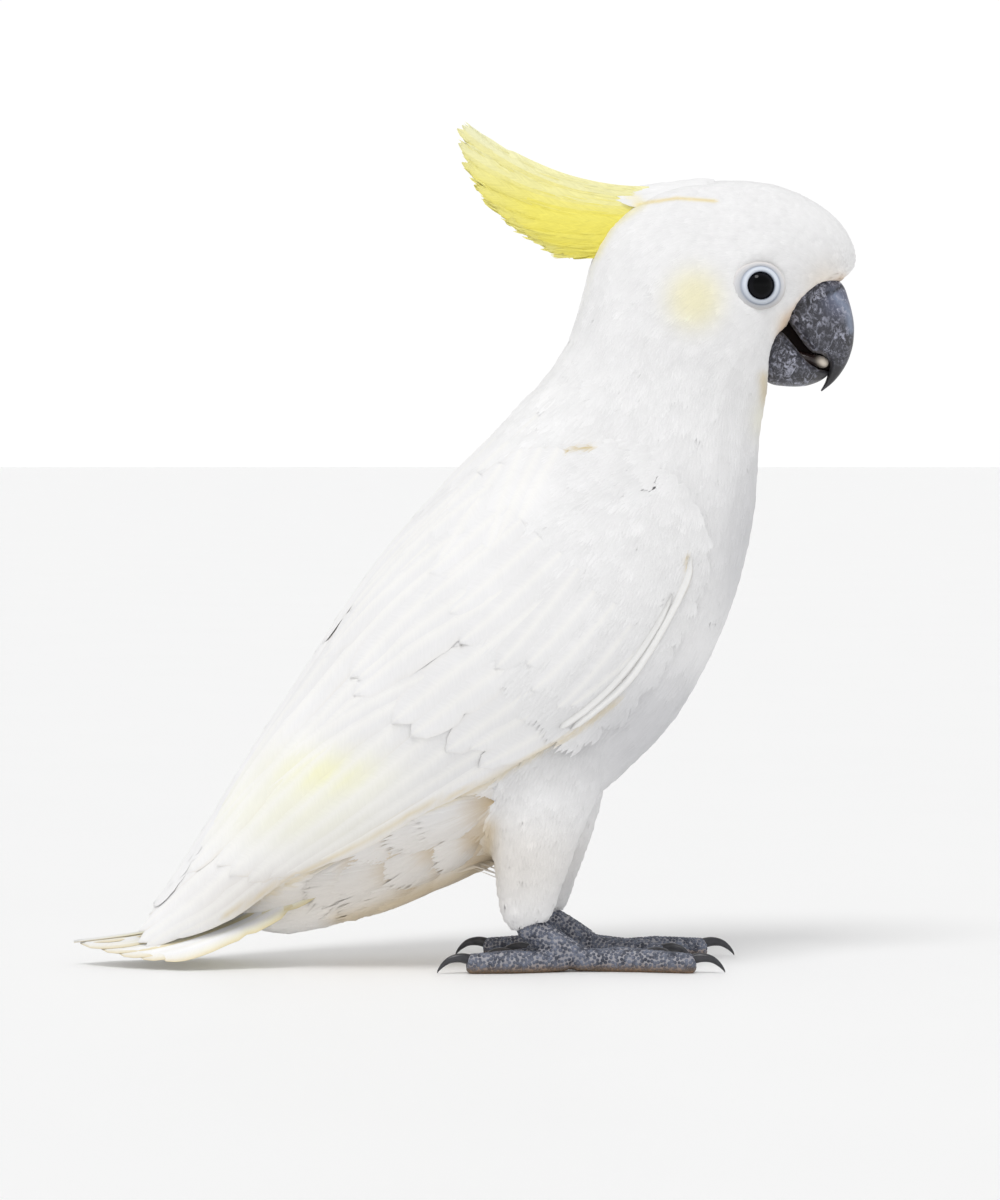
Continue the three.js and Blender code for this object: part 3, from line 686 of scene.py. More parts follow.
coat_paint = plumage("contour_feathers")
flesh_solids = [Surface(joined([name], 0.0)) for name in FLESH]


def belongs(places):
    """The index in FLESH of the solid that each place on the skin lies under."""
    gaps = [[solid.tree.find_nearest(p)[3] for p in places.tolist()] for solid in flesh_solids]
    return np.array(gaps).argmin(0)


skin_part = belongs(skin_surface.points[skin_surface.quads].mean(1))
ON_WING, ON_LEG = (
    np.isin(skin_part, [k for k, name in enumerate(FLESH) if name.startswith(word)])
    for word in ("wing", "thigh")
)


def under_zone(places):
    """1 on the loose fluffy feathers of the flank and vent, 0 on the rest of the body."""
    return glow(places, (-8, 52), (48, 22), 4)


def coat_size(places):
    """The length of the feathers at each place, in metres: shortest on the face, longest on the rump."""
    z = places[..., 2] * 1000
    trunk = np.interp(z, [20, 120, 200, 250, 290], [17, 17, 15.5, 12.5, 9.5])
    return (trunk + (5.0 - trunk) * face_zone(places) ** 0.8) * 0.001


EYE_X, EYE_Z, RING_CLEARANCE = 123.5, 285.6, 9.4


def clear_of_face(places):
    """False where the bare ring round the eye and the root of the bill leave no room for feathers."""
    x, z = side_view(places)
    y = np.abs(places[..., 1]) * 1000
    ring = ((x - EYE_X) ** 2 + (z - EYE_Z) ** 2 < RING_CLEARANCE**2) & (y > 15)
    bill = (x > 132.5) & (z < 284) & (z < 264 + (x - 132.5) * 0.83) & (z > 240) & (y < 11.5)
    bill |= (x > 128) & (z < 266) & (z > 243) & (y < 13)
    return ~(ring | bill)


roots = strewn(
    skin_surface,
    lambda middles: (~ON_WING & ~ON_LEG).astype(float) * (0.2 + 3.5 * face_zone(middles)),
    lambda places: coat_size(places) * np.interp(face_zone(places), [0, 1], [0.31, 0.27]),
    seed=11,
    tries=110000,
)
roots = roots[clear_of_face(roots)]
size = coat_size(roots)
rise = np.interp(size, [0.005, 0.017], [0.0004, 0.0009]) + 0.0009 * glow(roots, (160, 292), (6, 8))


def deep_tint(places):
    # the coat under the flank puffs takes the same golden brown, partly stain and partly painted shade
    return towards(body_tint(places), STAIN_AND_SHADE, 0.6 * under_zone(places))


parcels = fans(skin_surface, roots, lie_at(roots), size, size * 0.72, 7, rise, seed=12, tint=deep_tint)

# The flank and vent wear soft rounded puffs of down, white outside and golden brown deep between them; the
# golden brown is partly stain and partly painted shade.
down_roots = strewn(
    skin_surface, lambda middles: (~ON_WING & ~ON_LEG & (under_zone(middles) > 0.3)).astype(float),
    lambda places: 0.0125, seed=14, tries=9000,
)
down_roots = down_roots[within(down_roots, WING_OUTLINE) < 4]
down_size = np.random.default_rng(16).uniform(0.027, 0.037, len(down_roots))
clear = np.clip(-within(down_roots, WING_OUTLINE) / 9, 0.25, 1)
tufts = fans(
    skin_surface, down_roots, lie_at(down_roots), down_size, down_size * 0.72, 60, down_size * 0.08 * clear,
    seed=13, stations=7, lock_width=4.2, flop=0.25, curve=0.04, loose=0.25, foot_stain_and_shade=1.0, puff=0.9,
)
LOCKS_IN_A_PIECE = 12000


def coat_pieces(name, parcels):
    """The locks as joined meshes, each small enough for one piece."""
    for k in range(0, len(parcels[0]), LOCKS_IN_A_PIECE):
        chunk = [parcel[k : k + LOCKS_IN_A_PIECE] for parcel in parcels]
        piece(f"{name}_{k // LOCKS_IN_A_PIECE + 1}", locks_mesh(name, *chunk), coat_paint, "plumage")


coat_pieces("coat_body", parcels)
coat_pieces("coat_flank", tufts)

# The crown's longest white feathers lie back over the foot of the crest.
CROWN_LINE = [(112, 330.3), (98, 329.8), (84, 328.0), (72, 326.4), (60, 325.6)]


def crown_cap(count=420):
    chance = np.random.default_rng(15)
    spine = np.array(CROWN_LINE, dtype=float)
    share = np.linspace(0, 1, 5)
    start = chance.uniform(74, 104, count)[:, None]
    run = chance.uniform(10, 16, count)[:, None]
    y = chance.uniform(-1, 1, count)[:, None] * np.interp(start, [74, 90, 104], [5.4, 9.0, 12])
    x = start - run * share
    y = y * (1 - 0.3 * share)
    drop = np.interp(x, [62, 76, 90, 104], [3.4, 4.4, 8.5, 17])
    lift = np.array([-0.1, 0.4, 0.6, 0.5, 0.1]) + chance.uniform(-0.5, 0.1, (count, 1))
    z = np.interp(-x, -spine[:, 0], spine[:, 1]) - y**2 / drop + lift
    centres = np.stack([x + ORIGIN, y, z], axis=-1) * 0.001
    normals = unit(np.stack([np.full(y.shape, -0.08), 1.6 * y / drop, np.ones(y.shape)], axis=-1))
    wide = 0.0034 * np.array([0.8, 1.0, 0.95, 0.7, 0.0]) * np.ones((count, 1))
    thick = np.full((count, 5), 0.0005)
    hue = body_tint(centres) * chance.normal(1, 0.012, (count, 1, 1))
    return centres, normals, wide, thick, np.minimum(hue, 0.97), unwrapped(centres[:, 0])


coat_pieces("coat_crown", crown_cap())

# The legs wear short soft feathers like breeches, down to the heel.
leg_roots = strewn(
    skin_surface, lambda middles: ON_LEG.astype(float), lambda places: 0.0031, seed=21, tries=12000
)
leg_size = np.interp(leg_roots[:, 2], [0.02, 0.09], [0.008, 0.0125])
coat_pieces("coat_legs", fans(
    skin_surface, leg_roots, lie_at(leg_roots, LEG_LIE), leg_size, leg_size * 0.7, 6,
    np.full(len(leg_roots), 0.0016), seed=22,
))

# ------------------------------------------------------------------ wings
# Each folded wing is rows of feathers like tiles: small soft coverts over the shoulder, two rows of
# larger coverts, scapulars along the back, then the long stiff secondaries and the primaries whose
# tips cross over the tail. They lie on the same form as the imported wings, in thin layers.

# The outside of the folded bird: back x, z, underside x, z and half the width, in mm, nape to wing tip.
FOLDED = np.array([
    (63.0, 262.0, 129.0, 168.0, 36.0), (39.5, 246.5, 118.0, 138.0, 51.5), (10.5, 221.0, 99.0, 112.0, 59.0),
    (-19.5, 189.5, 74.0, 88.0, 60.0), (-44.5, 158.5, 44.0, 74.0, 56.5), (-66.0, 125.0, 10.0, 61.0, 48.0),
    (-87.0, 93.5, -28.0, 44.0, 39.5), (-104.0, 65.5, -61.0, 31.0, 30.5), (-120.0, 40.0, -91.0, 13.0, 21.5),
    (-133.0, 22.0, -119.0, 4.0, 14.5), (-146.0, 8.0, -138.0, -4.0, 10.0),
    (-158.0, -5.0, -152.0, -14.0, 7.0),
])


def eased(rows, at):
    """Rows of numbers read smoothly at fractional places."""
    at = np.clip(at, 0, len(rows) - 1.0001)
    low = np.floor(at).astype(int)
    t = (at - low)[..., None]
    a, b, c, d = (rows[np.clip(low + k, 0, len(rows) - 1)] for k in (-1, 0, 1, 2))
    return 0.5 * (2 * b + (c - a) * t + (2 * a - 5 * b + 4 * c - d) * t**2 + (3 * b - a - 3 * c + d) * t**3)


def folded_at(station, angle, side):
    """A place on the folded bird: how far along it, and how far round from the back to the underside."""
    ux, uz, lx, lz, half = np.moveaxis(eased(FOLDED, station), -1, 0)
    down = -np.sign(np.cos(angle)) * np.abs(np.cos(angle)) ** 0.95
    out = np.sign(np.sin(angle)) * np.abs(np.sin(angle)) ** 0.95
    x = (ux + lx) / 2 + (lx - ux) / 2 * down
    z = (uz + lz) / 2 + (lz - uz) / 2 * down
    return np.stack([(x + ORIGIN) * 0.001, side * half * out * 0.001, z * 0.001], axis=-1)


def folded_form(stations, angles, capped):
    """The folded bird between two stations as a mesh, closed at both ends if capped."""
    grid = folded_at(stations[:, None], angles[None], 1.0)
    rows, around = grid.shape[:2]
    index = np.arange(rows * around).reshape(rows, around)
    turn = np.roll(index, -1, axis=1)
    faces = np.stack([index[:-1], index[1:], turn[1:], turn[:-1]], axis=-1).reshape(-1, 4).tolist()
    mesh = bpy.data.meshes.new("folded")
    if capped:
        faces += [index[0].tolist(), index[-1, ::-1].tolist()]
    mesh.from_pydata(grid.reshape(-1, 3).tolist(), [], faces)
    mesh.update()
    return mesh


folded = Surface(folded_form(
    np.linspace(0, len(FOLDED) - 1.001, 150), np.linspace(0, 2 * math.pi, 120, endpoint=False), False,
))
if (folded.normals * (folded.points - folded.points.mean(0))).sum() < 0:
    folded.normals *= -1
STATIONS = np.linspace(0, len(FOLDED) - 1.001, 900)
SECTIONS = eased(FOLDED, STATIONS)


def station_of(x, z):
    """The station and angle on the folded bird of a spot seen from its side, in mm."""
    run = SECTIONS[:, 2:4] - SECTIONS[:, 0:2]
    gap = np.array([x, z]) - SECTIONS[:, 0:2]
    off = np.abs(run[:, 0] * gap[:, 1] - run[:, 1] * gap[:, 0]) / np.linalg.norm(run, axis=1)
    share = (gap * run).sum(1) / (run**2).sum(1)
    best = np.where((share > -0.25) & (share < 1.25), off, 1e9).argmin()
    return STATIONS[best], math.acos(np.clip(1 - 2 * share[best], -0.999, 0.999))


ACROSS = np.array([-1, -0.7, -0.36, 0, 0.36, 0.7, 1])


def vanes_mesh(name, grid, up, thick, colours, bake_at, uv, columns=ACROSS):
    """Closed blades from grids of places (feathers, stations, across, 3), `thick` through the middle."""
    count, stations, across = grid.shape[:3]
    each = stations * across
    edge = (1 - 0.75 * np.abs(columns) ** 1.5)[:, None]
    top = grid + up * thick * edge / 2
    under = grid - up * thick * edge / 2
    points = np.concatenate([top.reshape(count, -1, 3), under.reshape(count, -1, 3)], axis=1)
    index = np.arange(each).reshape(stations, across)
    a, b, c, d = index[:-1, :-1], index[1:, :-1], index[1:, 1:], index[:-1, 1:]
    upper = np.stack([a, b, c, d], axis=-1).reshape(-1, 4)
    lower = np.stack([a, d, c, b], axis=-1).reshape(-1, 4) + each
    rim = np.concatenate([index[0, :-1], index[:-1, -1], index[-1, :0:-1], index[:0:-1, 0]])
    after = np.roll(rim, -1)
    wall = np.stack([rim, after, after + each, rim + each], axis=-1)
    pattern = np.concatenate([upper, lower, wall])
    corners = (np.arange(count)[:, None] * 2 * each + pattern.ravel()).ravel()
    sizes = np.full(count * len(pattern), 4)
    share = np.linspace(-0.5, 0.5, stations)
    patch = np.stack(np.meshgrid(share, columns / 2, indexing="ij"), axis=-1).reshape(-1, 2) * PATCH
    bake = bake_at[:, None] + np.concatenate([patch, patch])
    outward = up.reshape(count, -1, 3)
    soft = np.concatenate([outward, -outward], axis=1).reshape(-1, 3)[corners]
    hues = np.concatenate([colours.reshape(count, -1, 3)] * 2, axis=1).reshape(-1, 3)
    maps = np.concatenate([uv.reshape(count, -1, 2)] * 2, axis=1).reshape(-1, 2)
    return mesh_of(name, points.reshape(-1, 3), corners, sizes, hues, bake.reshape(-1, 2), soft, maps)


def ragged(chance, share, count, splits, depth=0.3):
    """How much of its width a vane keeps at each station: whole, with a few small splits."""
    keep = np.ones((count, len(share)))
    for _ in range(splits):
        spot = chance.uniform(0.35, 0.97, (count, 1))
        keep *= 1 - depth * chance.random((count, 1)) * np.exp(-(((share - spot) / 0.018) ** 2))
    return keep


def outline_of(share, root, shoulder, blunt):
    """Half the width of a vane along it, as a share of its widest: narrow root, full middle, round tip."""
    tip = np.clip((share - shoulder) / (1 - shoulder), 0, 1)
    full = np.interp(share, [0, 0.14, 0.4], [root, 0.85, 1.0])
    return np.maximum(full * np.sqrt(np.maximum(1 - tip**blunt, 0)), 0.05)


EDGE_SHADE_TONE = (0.74, 0.66, 0.54)
SHAFT_TONE = (0.96, 0.95, 0.92)
CENTIMETRES = 100.0  # the vane map counts in centimetres


def vanes(name, spine, half, base, rise, seed, droop=0.0011, ridge=0.00015, thick=0.0004, root=0.5,
          shoulder=0.78, blunt=2.2, splits=3, tint=body_tint, edge_shade=0.0, twist=0.0, crossing=False,
          replaced=()):
    """Vaned feathers along spines (feathers, stations, 3) laid on the folded form, as one piece. Each lies
    `base` over it, its tip `rise` higher and its edges `droop` lower; `twist` tilts it, `edge_shade` paints
    brown shade along its edges, and only feathers `crossing` the middle of the back are not held down
    there."""
    chance = np.random.default_rng(seed)
    count, stations = spine.shape[:2]
    share = np.linspace(0, 1, stations)
    normal = folded.nearest(spine)[1]
    side = unit(np.cross(normal, unit(np.gradient(spine, axis=1))))
    width = half[:, None] * outline_of(share, root, shoulder, blunt)
    left, right = (width * ragged(chance, share, count, splits) for _ in range(2))
    reach = np.where(ACROSS < 0, left[..., None], right[..., None]) * ACROSS
    places = spine[:, :, None] + side[:, :, None] * reach[..., None]
    laid, up = folded.nearest(places)
    swell, start = chance.normal(0, 0.00008, (count, 1, 1)), chance.random((count, 1)) * 6
    wave = swell * np.sin(share * 9 + start)[..., None]
    height = base[:, None, None] + rise * share[:, None] - droop * np.abs(ACROSS) ** 2 + wave
    height = height + ridge * np.exp(-((ACROSS / 0.2) ** 2)) + twist * ACROSS
    up = unit(up - (twist / half.mean()) * side[:, :, None])
    if not crossing:
        height = height * np.clip(np.abs(laid[..., 1]) / 0.016, 0.12, 1)
    grid = laid + up * height[..., None]
    if not crossing:
        own_side = np.sign(spine[:, :1, 1])[..., None]
        grid[..., 1] = np.where(np.abs(grid[..., 1]) < 0.0002, own_side * 0.0002, grid[..., 1])
    length = np.linalg.norm(np.diff(spine, axis=1), axis=2).sum(1)
    along = np.broadcast_to((share * length[:, None])[..., None], reach.shape)
    # painted shade: each feather a little darker towards its root, where the row over it shades it
    hue = tint(places) * np.interp(share, [0, 0.5, 1], [0.965, 0.99, 1.0])[:, None, None]
    hue = hue * chance.normal(1, 0.01, (count, 1, 1, 1))
    shaft = np.exp(-((ACROSS / 0.12) ** 2))
    hue = np.minimum(towards(hue, SHAFT_TONE, shaft * 0.6), 0.97)
    # painted shade: brown along the edges of the vane, where the feathers overlap
    hue = towards(hue, EDGE_SHADE_TONE, edge_shade * np.abs(ACROSS) ** 5)
    bake = unwrapped(laid[:, stations // 2, 3])
    mesh = vanes_mesh(name, grid, up, thick, hue, bake, np.stack([reach, along], axis=-1) * CENTIMETRES)
    piece(name, mesh, vane_paint, "plumage", *replaced)


vane_paint = plumage("flight_feathers", 0.62, barbs=150.0)


def wing_spines(roots, tips, side, stations):
    """Spines on the folded form between roots and tips given in the side view, in mm."""
    share = np.linspace(0, 1, stations)
    spines = []
    for start, end in zip(roots, tips):
        s0, a0 = station_of(*start)
        s1, a1 = station_of(*end)
        station = s0 + (s1 - s0) * share
        angle = a0 + (a1 - a0) * share
        spines.append(folded_at(station, np.clip(angle, 0.16, 3.0), side))
    return np.array(spines)


def spaced(corners, count):
    """Evenly numbered places along a line through the given corners."""
    corners = np.array(corners, dtype=float)
    return np.stack([np.interp(np.linspace(0, len(corners) - 1, count), range(len(corners)), column)
                     for column in corners.T], axis=1)


def wing_tint(places):
    """The body's colours with painted grey shade down the middle of the wing, and yellow showing through by
    the tips.
    """
    colour = body_tint(places) * (1 - 0.055 * glow(places, (0, 120), (70, 60), 4))[..., None]
    patch = 0.75 * glow(places, (-58, 84), (22, 9)) + 0.35 * glow(places, (-75, 66), (34, 14))
    return towards(colour, (0.96, 0.95, 0.60), np.clip(patch, 0, 1))


# Each row: its name, how many feathers, where roots and tips lie from the back edge to the front edge
# (x, z in mm), half widths, how high the first and last feather lie over the folded form, the rise of their
# tips, where the tip starts to round off, how far the edges drop, and the painted brown shade at their
# edges.
WING_ROWS = [
    ("primaries", 9, [(-6, 128), (12, 92)],
     [(-113, 50), (-122, 36), (-130.5, 24), (-137, 14), (-138.5, 9), (-128, 10), (-108, 18)],
     (10.0, 8.0), (0.5, -1.9), 0.1, 0.55, 0.7, 0.3),
    ("secondaries", 11, [(-14, 176), (8, 150), (44, 110)],
     [(-106, 68), (-109, 55), (-103, 43), (-86, 36), (-66, 44)],
     (11.5, 8.5), (1.5, -0.9), -0.4, 0.8, 0.6, 0.3),
    ("greater_coverts", 10, [(-6, 190), (28, 160), (62, 124)],
     [(-60, 134), (-38, 108), (10, 86)],
     (10.0, 8.0), (1.6, -0.1), 0.4, 0.62, 0.5, 0.10),
    ("median_coverts", 10, [(12, 200), (42, 172), (74, 140)],
     [(-24, 170), (8, 136), (46, 108)],
     (8.2, 6.5), (1.4, 0.5), 0.4, 0.5, 0.5, 0.05),
    ("scapulars", 8, [(40, 218), (22, 216), (2, 202), (-14, 188)],
     [(24, 186), (-2, 172), (-34, 160), (-58, 138)],
     (10.5, 9.0), (0.7, 1.7), 0.5, 0.6, 0.6, 0.10),
]
WORDS = {-1: "right", 1: "left"}
for side, word in WORDS.items():
    for row, count, roots_at, tips_at, halves, heights, lift, shoulder, droop, edge_shade in WING_ROWS:
        chance = np.random.default_rng(len(row) * 7 + side)
        scatter = 3.0 if row in ("greater_coverts", "median_coverts", "scapulars") else 1.2
        starts = spaced(roots_at, count) + chance.normal(0, 1.0, (count, 2))
        ends = spaced(tips_at, count) + chance.normal(0, scatter, (count, 2))
        if row == "secondaries":
            shift = np.interp(np.arange(count), [0, 4], [3.0, 0]) * (-side)
            starts += np.stack([shift * 0.3, -shift * 0.4], axis=1)
            ends += np.stack([shift, -shift * 0.8], axis=1)
        stations = 30 if row in ("primaries", "secondaries") else 18
        vanes(
            f"{row}_{word}", wing_spines(starts, ends, side, stations), np.linspace(*halves, count) * 0.001,
            np.linspace(*heights, count) * 0.001, lift * 0.001, seed=len(row) * 13 + side + 5,
            shoulder=shoulder, blunt=1.8 if row == "primaries" else 2.4, droop=droop * 0.001,
            tint=wing_tint, edge_shade=edge_shade, replaced=(f"primaries_{word}",) if row == "primaries" else (),
        )


# Down the middle of the back, mantle feathers and then tertials lie across the seam between the wings.
MANTLE_ROOTS = np.linspace(1.5, 6.9, 15)  # stations on the folded form
MANTLE_LAYERS = [(-0.42, 0.0), (0.42, 0.0), (-0.2, 0.3), (0.2, 0.3), (0.0, 0.8)]  # angle, height in mm
MANTLE_STATIONS = 18
mantle_chance = np.random.default_rng(46)
mantle_spines, mantle_halves, mantle_heights = [], [], []
for layer, (angle, high) in enumerate(MANTLE_LAYERS):
    for k, root in enumerate(MANTLE_ROOTS[: 12 if layer < 2 else 15]):
        long = np.interp(root, [0.5, 3, 7], [1.0, 1.35, 1.9])
        station = root + mantle_chance.normal(0, 0.05) + long * np.linspace(0, 1, MANTLE_STATIONS)
        lean = angle + 0.05 * (-1) ** k * (layer == 4)
        mantle_spines.append(folded_at(station, np.full(MANTLE_STATIONS, lean), 1.0))
        mantle_halves.append(np.interp(root, [0.5, 4, 7], [8.5, 10.5, 8.0]))
        mantle_heights.append(high)
vanes(
    "mantle_feathers", np.array(mantle_spines), np.array(mantle_halves) * 0.001,
    np.array(mantle_heights) * 0.001, 0.0005, seed=47, shoulder=0.55, droop=0.0004, crossing=True,
)

# The cape: soft feathers of the nape and shoulders that fall over the front edges of wings and mantle.
back_form = folded_form(np.linspace(1.6, 7, 40), np.linspace(-0.9, 0.9, 40), True)
CAPE_FORMS = ["head", "neck", "trunk", "wing_right", "wing_left"]
cape_surface = Surface(melted(CAPE_FORMS, 0.0026, 22, 0.0004, [back_form]))


def cape_zone(middles):
    x, z = side_view(middles)
    inside = within(middles, WING_OUTLINE)
    back = (x < 57) & (x > -2) & (inside < 2) & (z > 202) & (z < 246)
    front = (x >= 50) & (z > 184) & (inside < 1) & (inside > -7)
    return (back | front).astype(float)


cape_roots = strewn(cape_surface, cape_zone, lambda places: 0.0041, seed=51, tries=20000)
CAPE_LIE = [
    (110, 205, -0.45, -0.9), (88, 222, -0.65, -0.75), (60, 232, -0.7, -0.7), (30, 232, -0.76, -0.66),
    (0, 206, -0.74, -0.67),
]
cape_size = np.interp(cape_roots[:, 0], [0.02, 0.09], [0.021, 0.0145])
coat_pieces("coat_cape", fans(
    cape_surface, cape_roots, lie_at(cape_roots, CAPE_LIE), cape_size, cape_size * 0.72, 8,
    np.full(len(cape_roots), 0.0026), seed=52, stations=5, lock_width=1.9, base=-0.0015, flop=0.06,
))

# The thumb feathers: narrow, one over another along the wing's leading edge, and painted a brighter white
# than the rest of the plumage as a highlight.
THUMB_FEATHERS = [
    ([(91.5, 174), (90, 165), (84, 152.5), (74, 135), (63, 120.5), (42.5, 103.5)], 1.8, 2.3),
    ([(84, 159), (78, 146.5), (69, 133), (59, 121), (48, 111), (38, 104)], 1.5, 2.1),
]


# painted highlight: a brighter white than the other feathers
def thumb_highlight_tint(places):
    return np.broadcast_to(np.array([0.96, 0.96, 0.955]), places.shape)


for side, word in WORDS.items():
    spines = []
    for corners, *_ in THUMB_FEATHERS:
        path = eased(np.array(corners, dtype=float), np.linspace(0, len(corners) - 1, 26))
        where = np.array([station_of(*spot) for spot in path])
        spines.append(folded_at(where[:, 0], where[:, 1], side))
    halves, heights = (np.array(column) * 0.001 for column in list(zip(*THUMB_FEATHERS))[1:])
    vanes(
        f"thumb_feathers_{word}", np.array(spines), halves, heights, 0.0002, seed=37 + side, shoulder=0.9,
        droop=0.0008, ridge=0.0003, thick=0.0008, root=0.2, splits=0, edge_shade=0.25, twist=-0.0008 * side,
        tint=thumb_highlight_tint,
    )


# The shoulder's lesser coverts are fans of locks like those of the body, set closer and shorter.
def shoulder_zone(middles):
    return (ON_WING & (down_wing(middles) < 92)).astype(float)


shoulder_roots = strewn(
    skin_surface, shoulder_zone, lambda places: np.interp(down_wing(places), [0, 90], [0.0030, 0.0046]),
    seed=31, tries=26000,
)
ground = folded.nearest(shoulder_roots)[0]
shoulder_size = np.interp(down_wing(ground), [0, 90], [0.0085, 0.016])
WING_LIE = [
    (88, 190, -0.35, -0.94), (75, 212, -0.8, -0.6), (45, 212, -0.85, -0.53), (86, 165, -0.4, -0.92),
    (66, 135, -0.6, -0.8), (40, 170, -0.68, -0.73), (0, 190, -0.76, -0.65), (-20, 150, -0.76, -0.65),
]
coat_pieces("lesser_coverts", fans(
    folded, ground, lie_at(ground, WING_LIE), shoulder_size, shoulder_size * 0.85, 7,
    np.full(len(ground), 0.0007), seed=32, base=0.0004, tint=wing_tint,
))

# ------------------------------------------------------------------ tail
# Twelve stiff feathers folded like a roof, the middle pair on top, their tips on the floor. Their inner
# vanes are pale yellow and so are the borders of the outer ones, so yellow shows at the edges.

TAIL_LINE = np.array([(-22, 92), (-50, 56), (-82, 32), (-122, 16.5), (-165, 9.5)], dtype=float)
TAIL_ROOT_HALF, TAIL_FAN, TAIL_ROOF, PAIRS = 10.0, 18.0, 12.5, 6
TAIL_VANE_HALF, TAIL_LENGTH = 10.0, 190.0
tail_path = eased(TAIL_LINE, np.linspace(0, 4, 400))
tail_far = np.concatenate(([0], np.cumsum(np.linalg.norm(np.diff(tail_path, axis=0), axis=1))))
tail_far /= tail_far[-1]
RACHIS = 0.36  # where the shaft runs between the broad inner vane and the narrow outer one
TAIL_YELLOW, TAIL_SHAFT = (0.90, 0.86, 0.42), (0.96, 0.96, 0.95)
TAIL_ACROSS = np.array([-1, -0.7, -0.35, 0.0, 0.26, RACHIS, 0.46, 0.75, 1])


def tail_tint(shape, share):
    """White vanes and shafts, with yellow on both sides of each shaft that fades out before the tip, and
    golden-brown painted shade at the edges of the vanes where they overlap.
    """
    inner = np.clip((RACHIS - 0.06 - TAIL_ACROSS) * 4, 0, 1)
    inner = inner * np.interp(share, [0.1, 0.7, 0.95], [1, 0.8, 0.1])[:, None]
    outer = np.clip((TAIL_ACROSS - 0.5) * 2.5, 0, 1)
    outer = outer * np.interp(share, [0.1, 0.75, 0.97], [1, 0.8, 0.2])[:, None]
    colour = towards(np.broadcast_to(WHITE, shape + (3,)), TAIL_YELLOW, inner * 0.85 + outer * 0.6)
    colour = towards(colour, TAIL_SHAFT, np.exp(-(((TAIL_ACROSS - RACHIS) / 0.07) ** 2)))
    # golden-brown painted shade along the edges, where the tail feathers overlap
    return towards(colour, GOLDEN_SHADE, np.abs(TAIL_ACROSS) ** 6 * 0.55)


def tail_piece():
    stations = 34
    share = np.linspace(0.12, 1, stations)
    grids, ups, hues, maps, bakes = [], [], [], [], []
    chance = np.random.default_rng(41)
    for hand in (-1, 1):
        for out in range(PAIRS):
            reach = share * (1 - 0.022 * out**1.35) * (1 + chance.normal(0, 0.006))
            line = np.stack([np.interp(reach, tail_far, tail_path[:, k]) for k in (0, 1)], axis=1)
            way = unit(np.gradient(line, axis=0))
            lift = np.stack([way[:, 1], -way[:, 0]], axis=1)
            fan = TAIL_ROOT_HALF + TAIL_FAN * reach
            half = TAIL_VANE_HALF * outline_of(np.linspace(0, 1, stations), 0.5, 0.86, 2.2)
            half = half * ragged(chance, share, 1, 5)[0]
            outer = fan / PAIRS * (out + 1) + 1.2
            middle = outer - TAIL_VANE_HALF * np.interp(share, [0.12, 0.6], [0.45, 1.0])
            y = middle[:, None] + half[:, None] * TAIL_ACROSS
            y = np.where(y < 0, y * 0.2, y)
            level = np.clip(y / fan[:, None], 0, 1.15)
            drop = TAIL_ROOF * (0.4 + 0.6 * reach[:, None]) * level**1.3 + (0.75 - 0.06 * out) * out
            bulge = 0.3 * np.exp(-(((TAIL_ACROSS - RACHIS) / 0.09) ** 2)) - 0.45 * np.abs(TAIL_ACROSS) ** 2
            height = bulge - drop + 0.4
            x = line[:, :1] + lift[:, :1] * height + ORIGIN
            z = np.maximum(line[:, 1:] + lift[:, 1:] * height, 0.3 + 0.12 * (PAIRS - out))
            slope = TAIL_ROOF * 1.3 * level**0.3 / (TAIL_ROOT_HALF + TAIL_FAN)
            lift_x, lift_z = (np.broadcast_to(lift[:, k : k + 1], y.shape) for k in (0, 1))
            up = np.stack([lift_x, hand * slope, lift_z], axis=-1)
            grid = np.stack([x, hand * y, z], axis=-1) * 0.001
            hue = tail_tint(y.shape, share)
            along = np.broadcast_to((share * TAIL_LENGTH)[:, None], y.shape)
            uv = np.stack([half[:, None] * (TAIL_ACROSS - RACHIS), along], axis=-1) * 0.1
            turn = slice(None, None, -hand)
            for parcel, made in zip((grids, ups, hues, maps), (grid, up, hue, uv)):
                parcel.append(made[:, turn])
            bakes.append(unwrapped(grid[stations // 2, 3][None])[0])
    mesh = vanes_mesh("tail_feathers", np.array(grids), unit(np.array(ups)), 0.0005, np.array(hues),
                      np.array(bakes), np.array(maps), TAIL_ACROSS)
    piece("tail_feathers", mesh, vane_paint, "plumage", "tail")


tail_piece()

# ------------------------------------------------------------------ crest
# A sheaf of long narrow yellow plumes that spring from the crown, sweep back and curl up at the tips.
# Each is a shaft with loose barbs on both sides, and the lower ones end one after another.

CREST_ROOTS = [(89, 324.6), (81, 317.5), (74, 311), (68, 306), (64, 301.5)]
CREST_TIPS = [(-1.6, 352.5), (-2.0, 345), (1, 334), (8, 323), (18, 313), (28, 306), (40, 299.5)]
CREST_SAG = 19.0
CREST_YELLOW = np.array([0.97, 0.88, 0.17])
CREST_PALE, CREST_GOLD = (0.99, 0.97, 0.60), np.array([0.90, 0.78, 0.09])
crest_paint = plumage("crest_plumes", 0.65, barbs=40.0, slope=2.6, streak=0.10)
crest_wisp_paint = plumage("crest_barbs", 0.65)


def crest_tint(q, share, deep):
    """Pale along the top plume (q = 0), sulphur yellow below it, golden near the root, and golden in the
    folds between plumes as painted shade.
    """
    pale = np.clip(0.85 - 2.2 * q, 0, 1) + 0.3 * np.clip(share * 3 - 2, 0, 1)
    colour = towards(CREST_YELLOW, CREST_PALE, pale)
    return np.minimum(colour, 0.99) + (CREST_GOLD - colour) * deep[..., None]


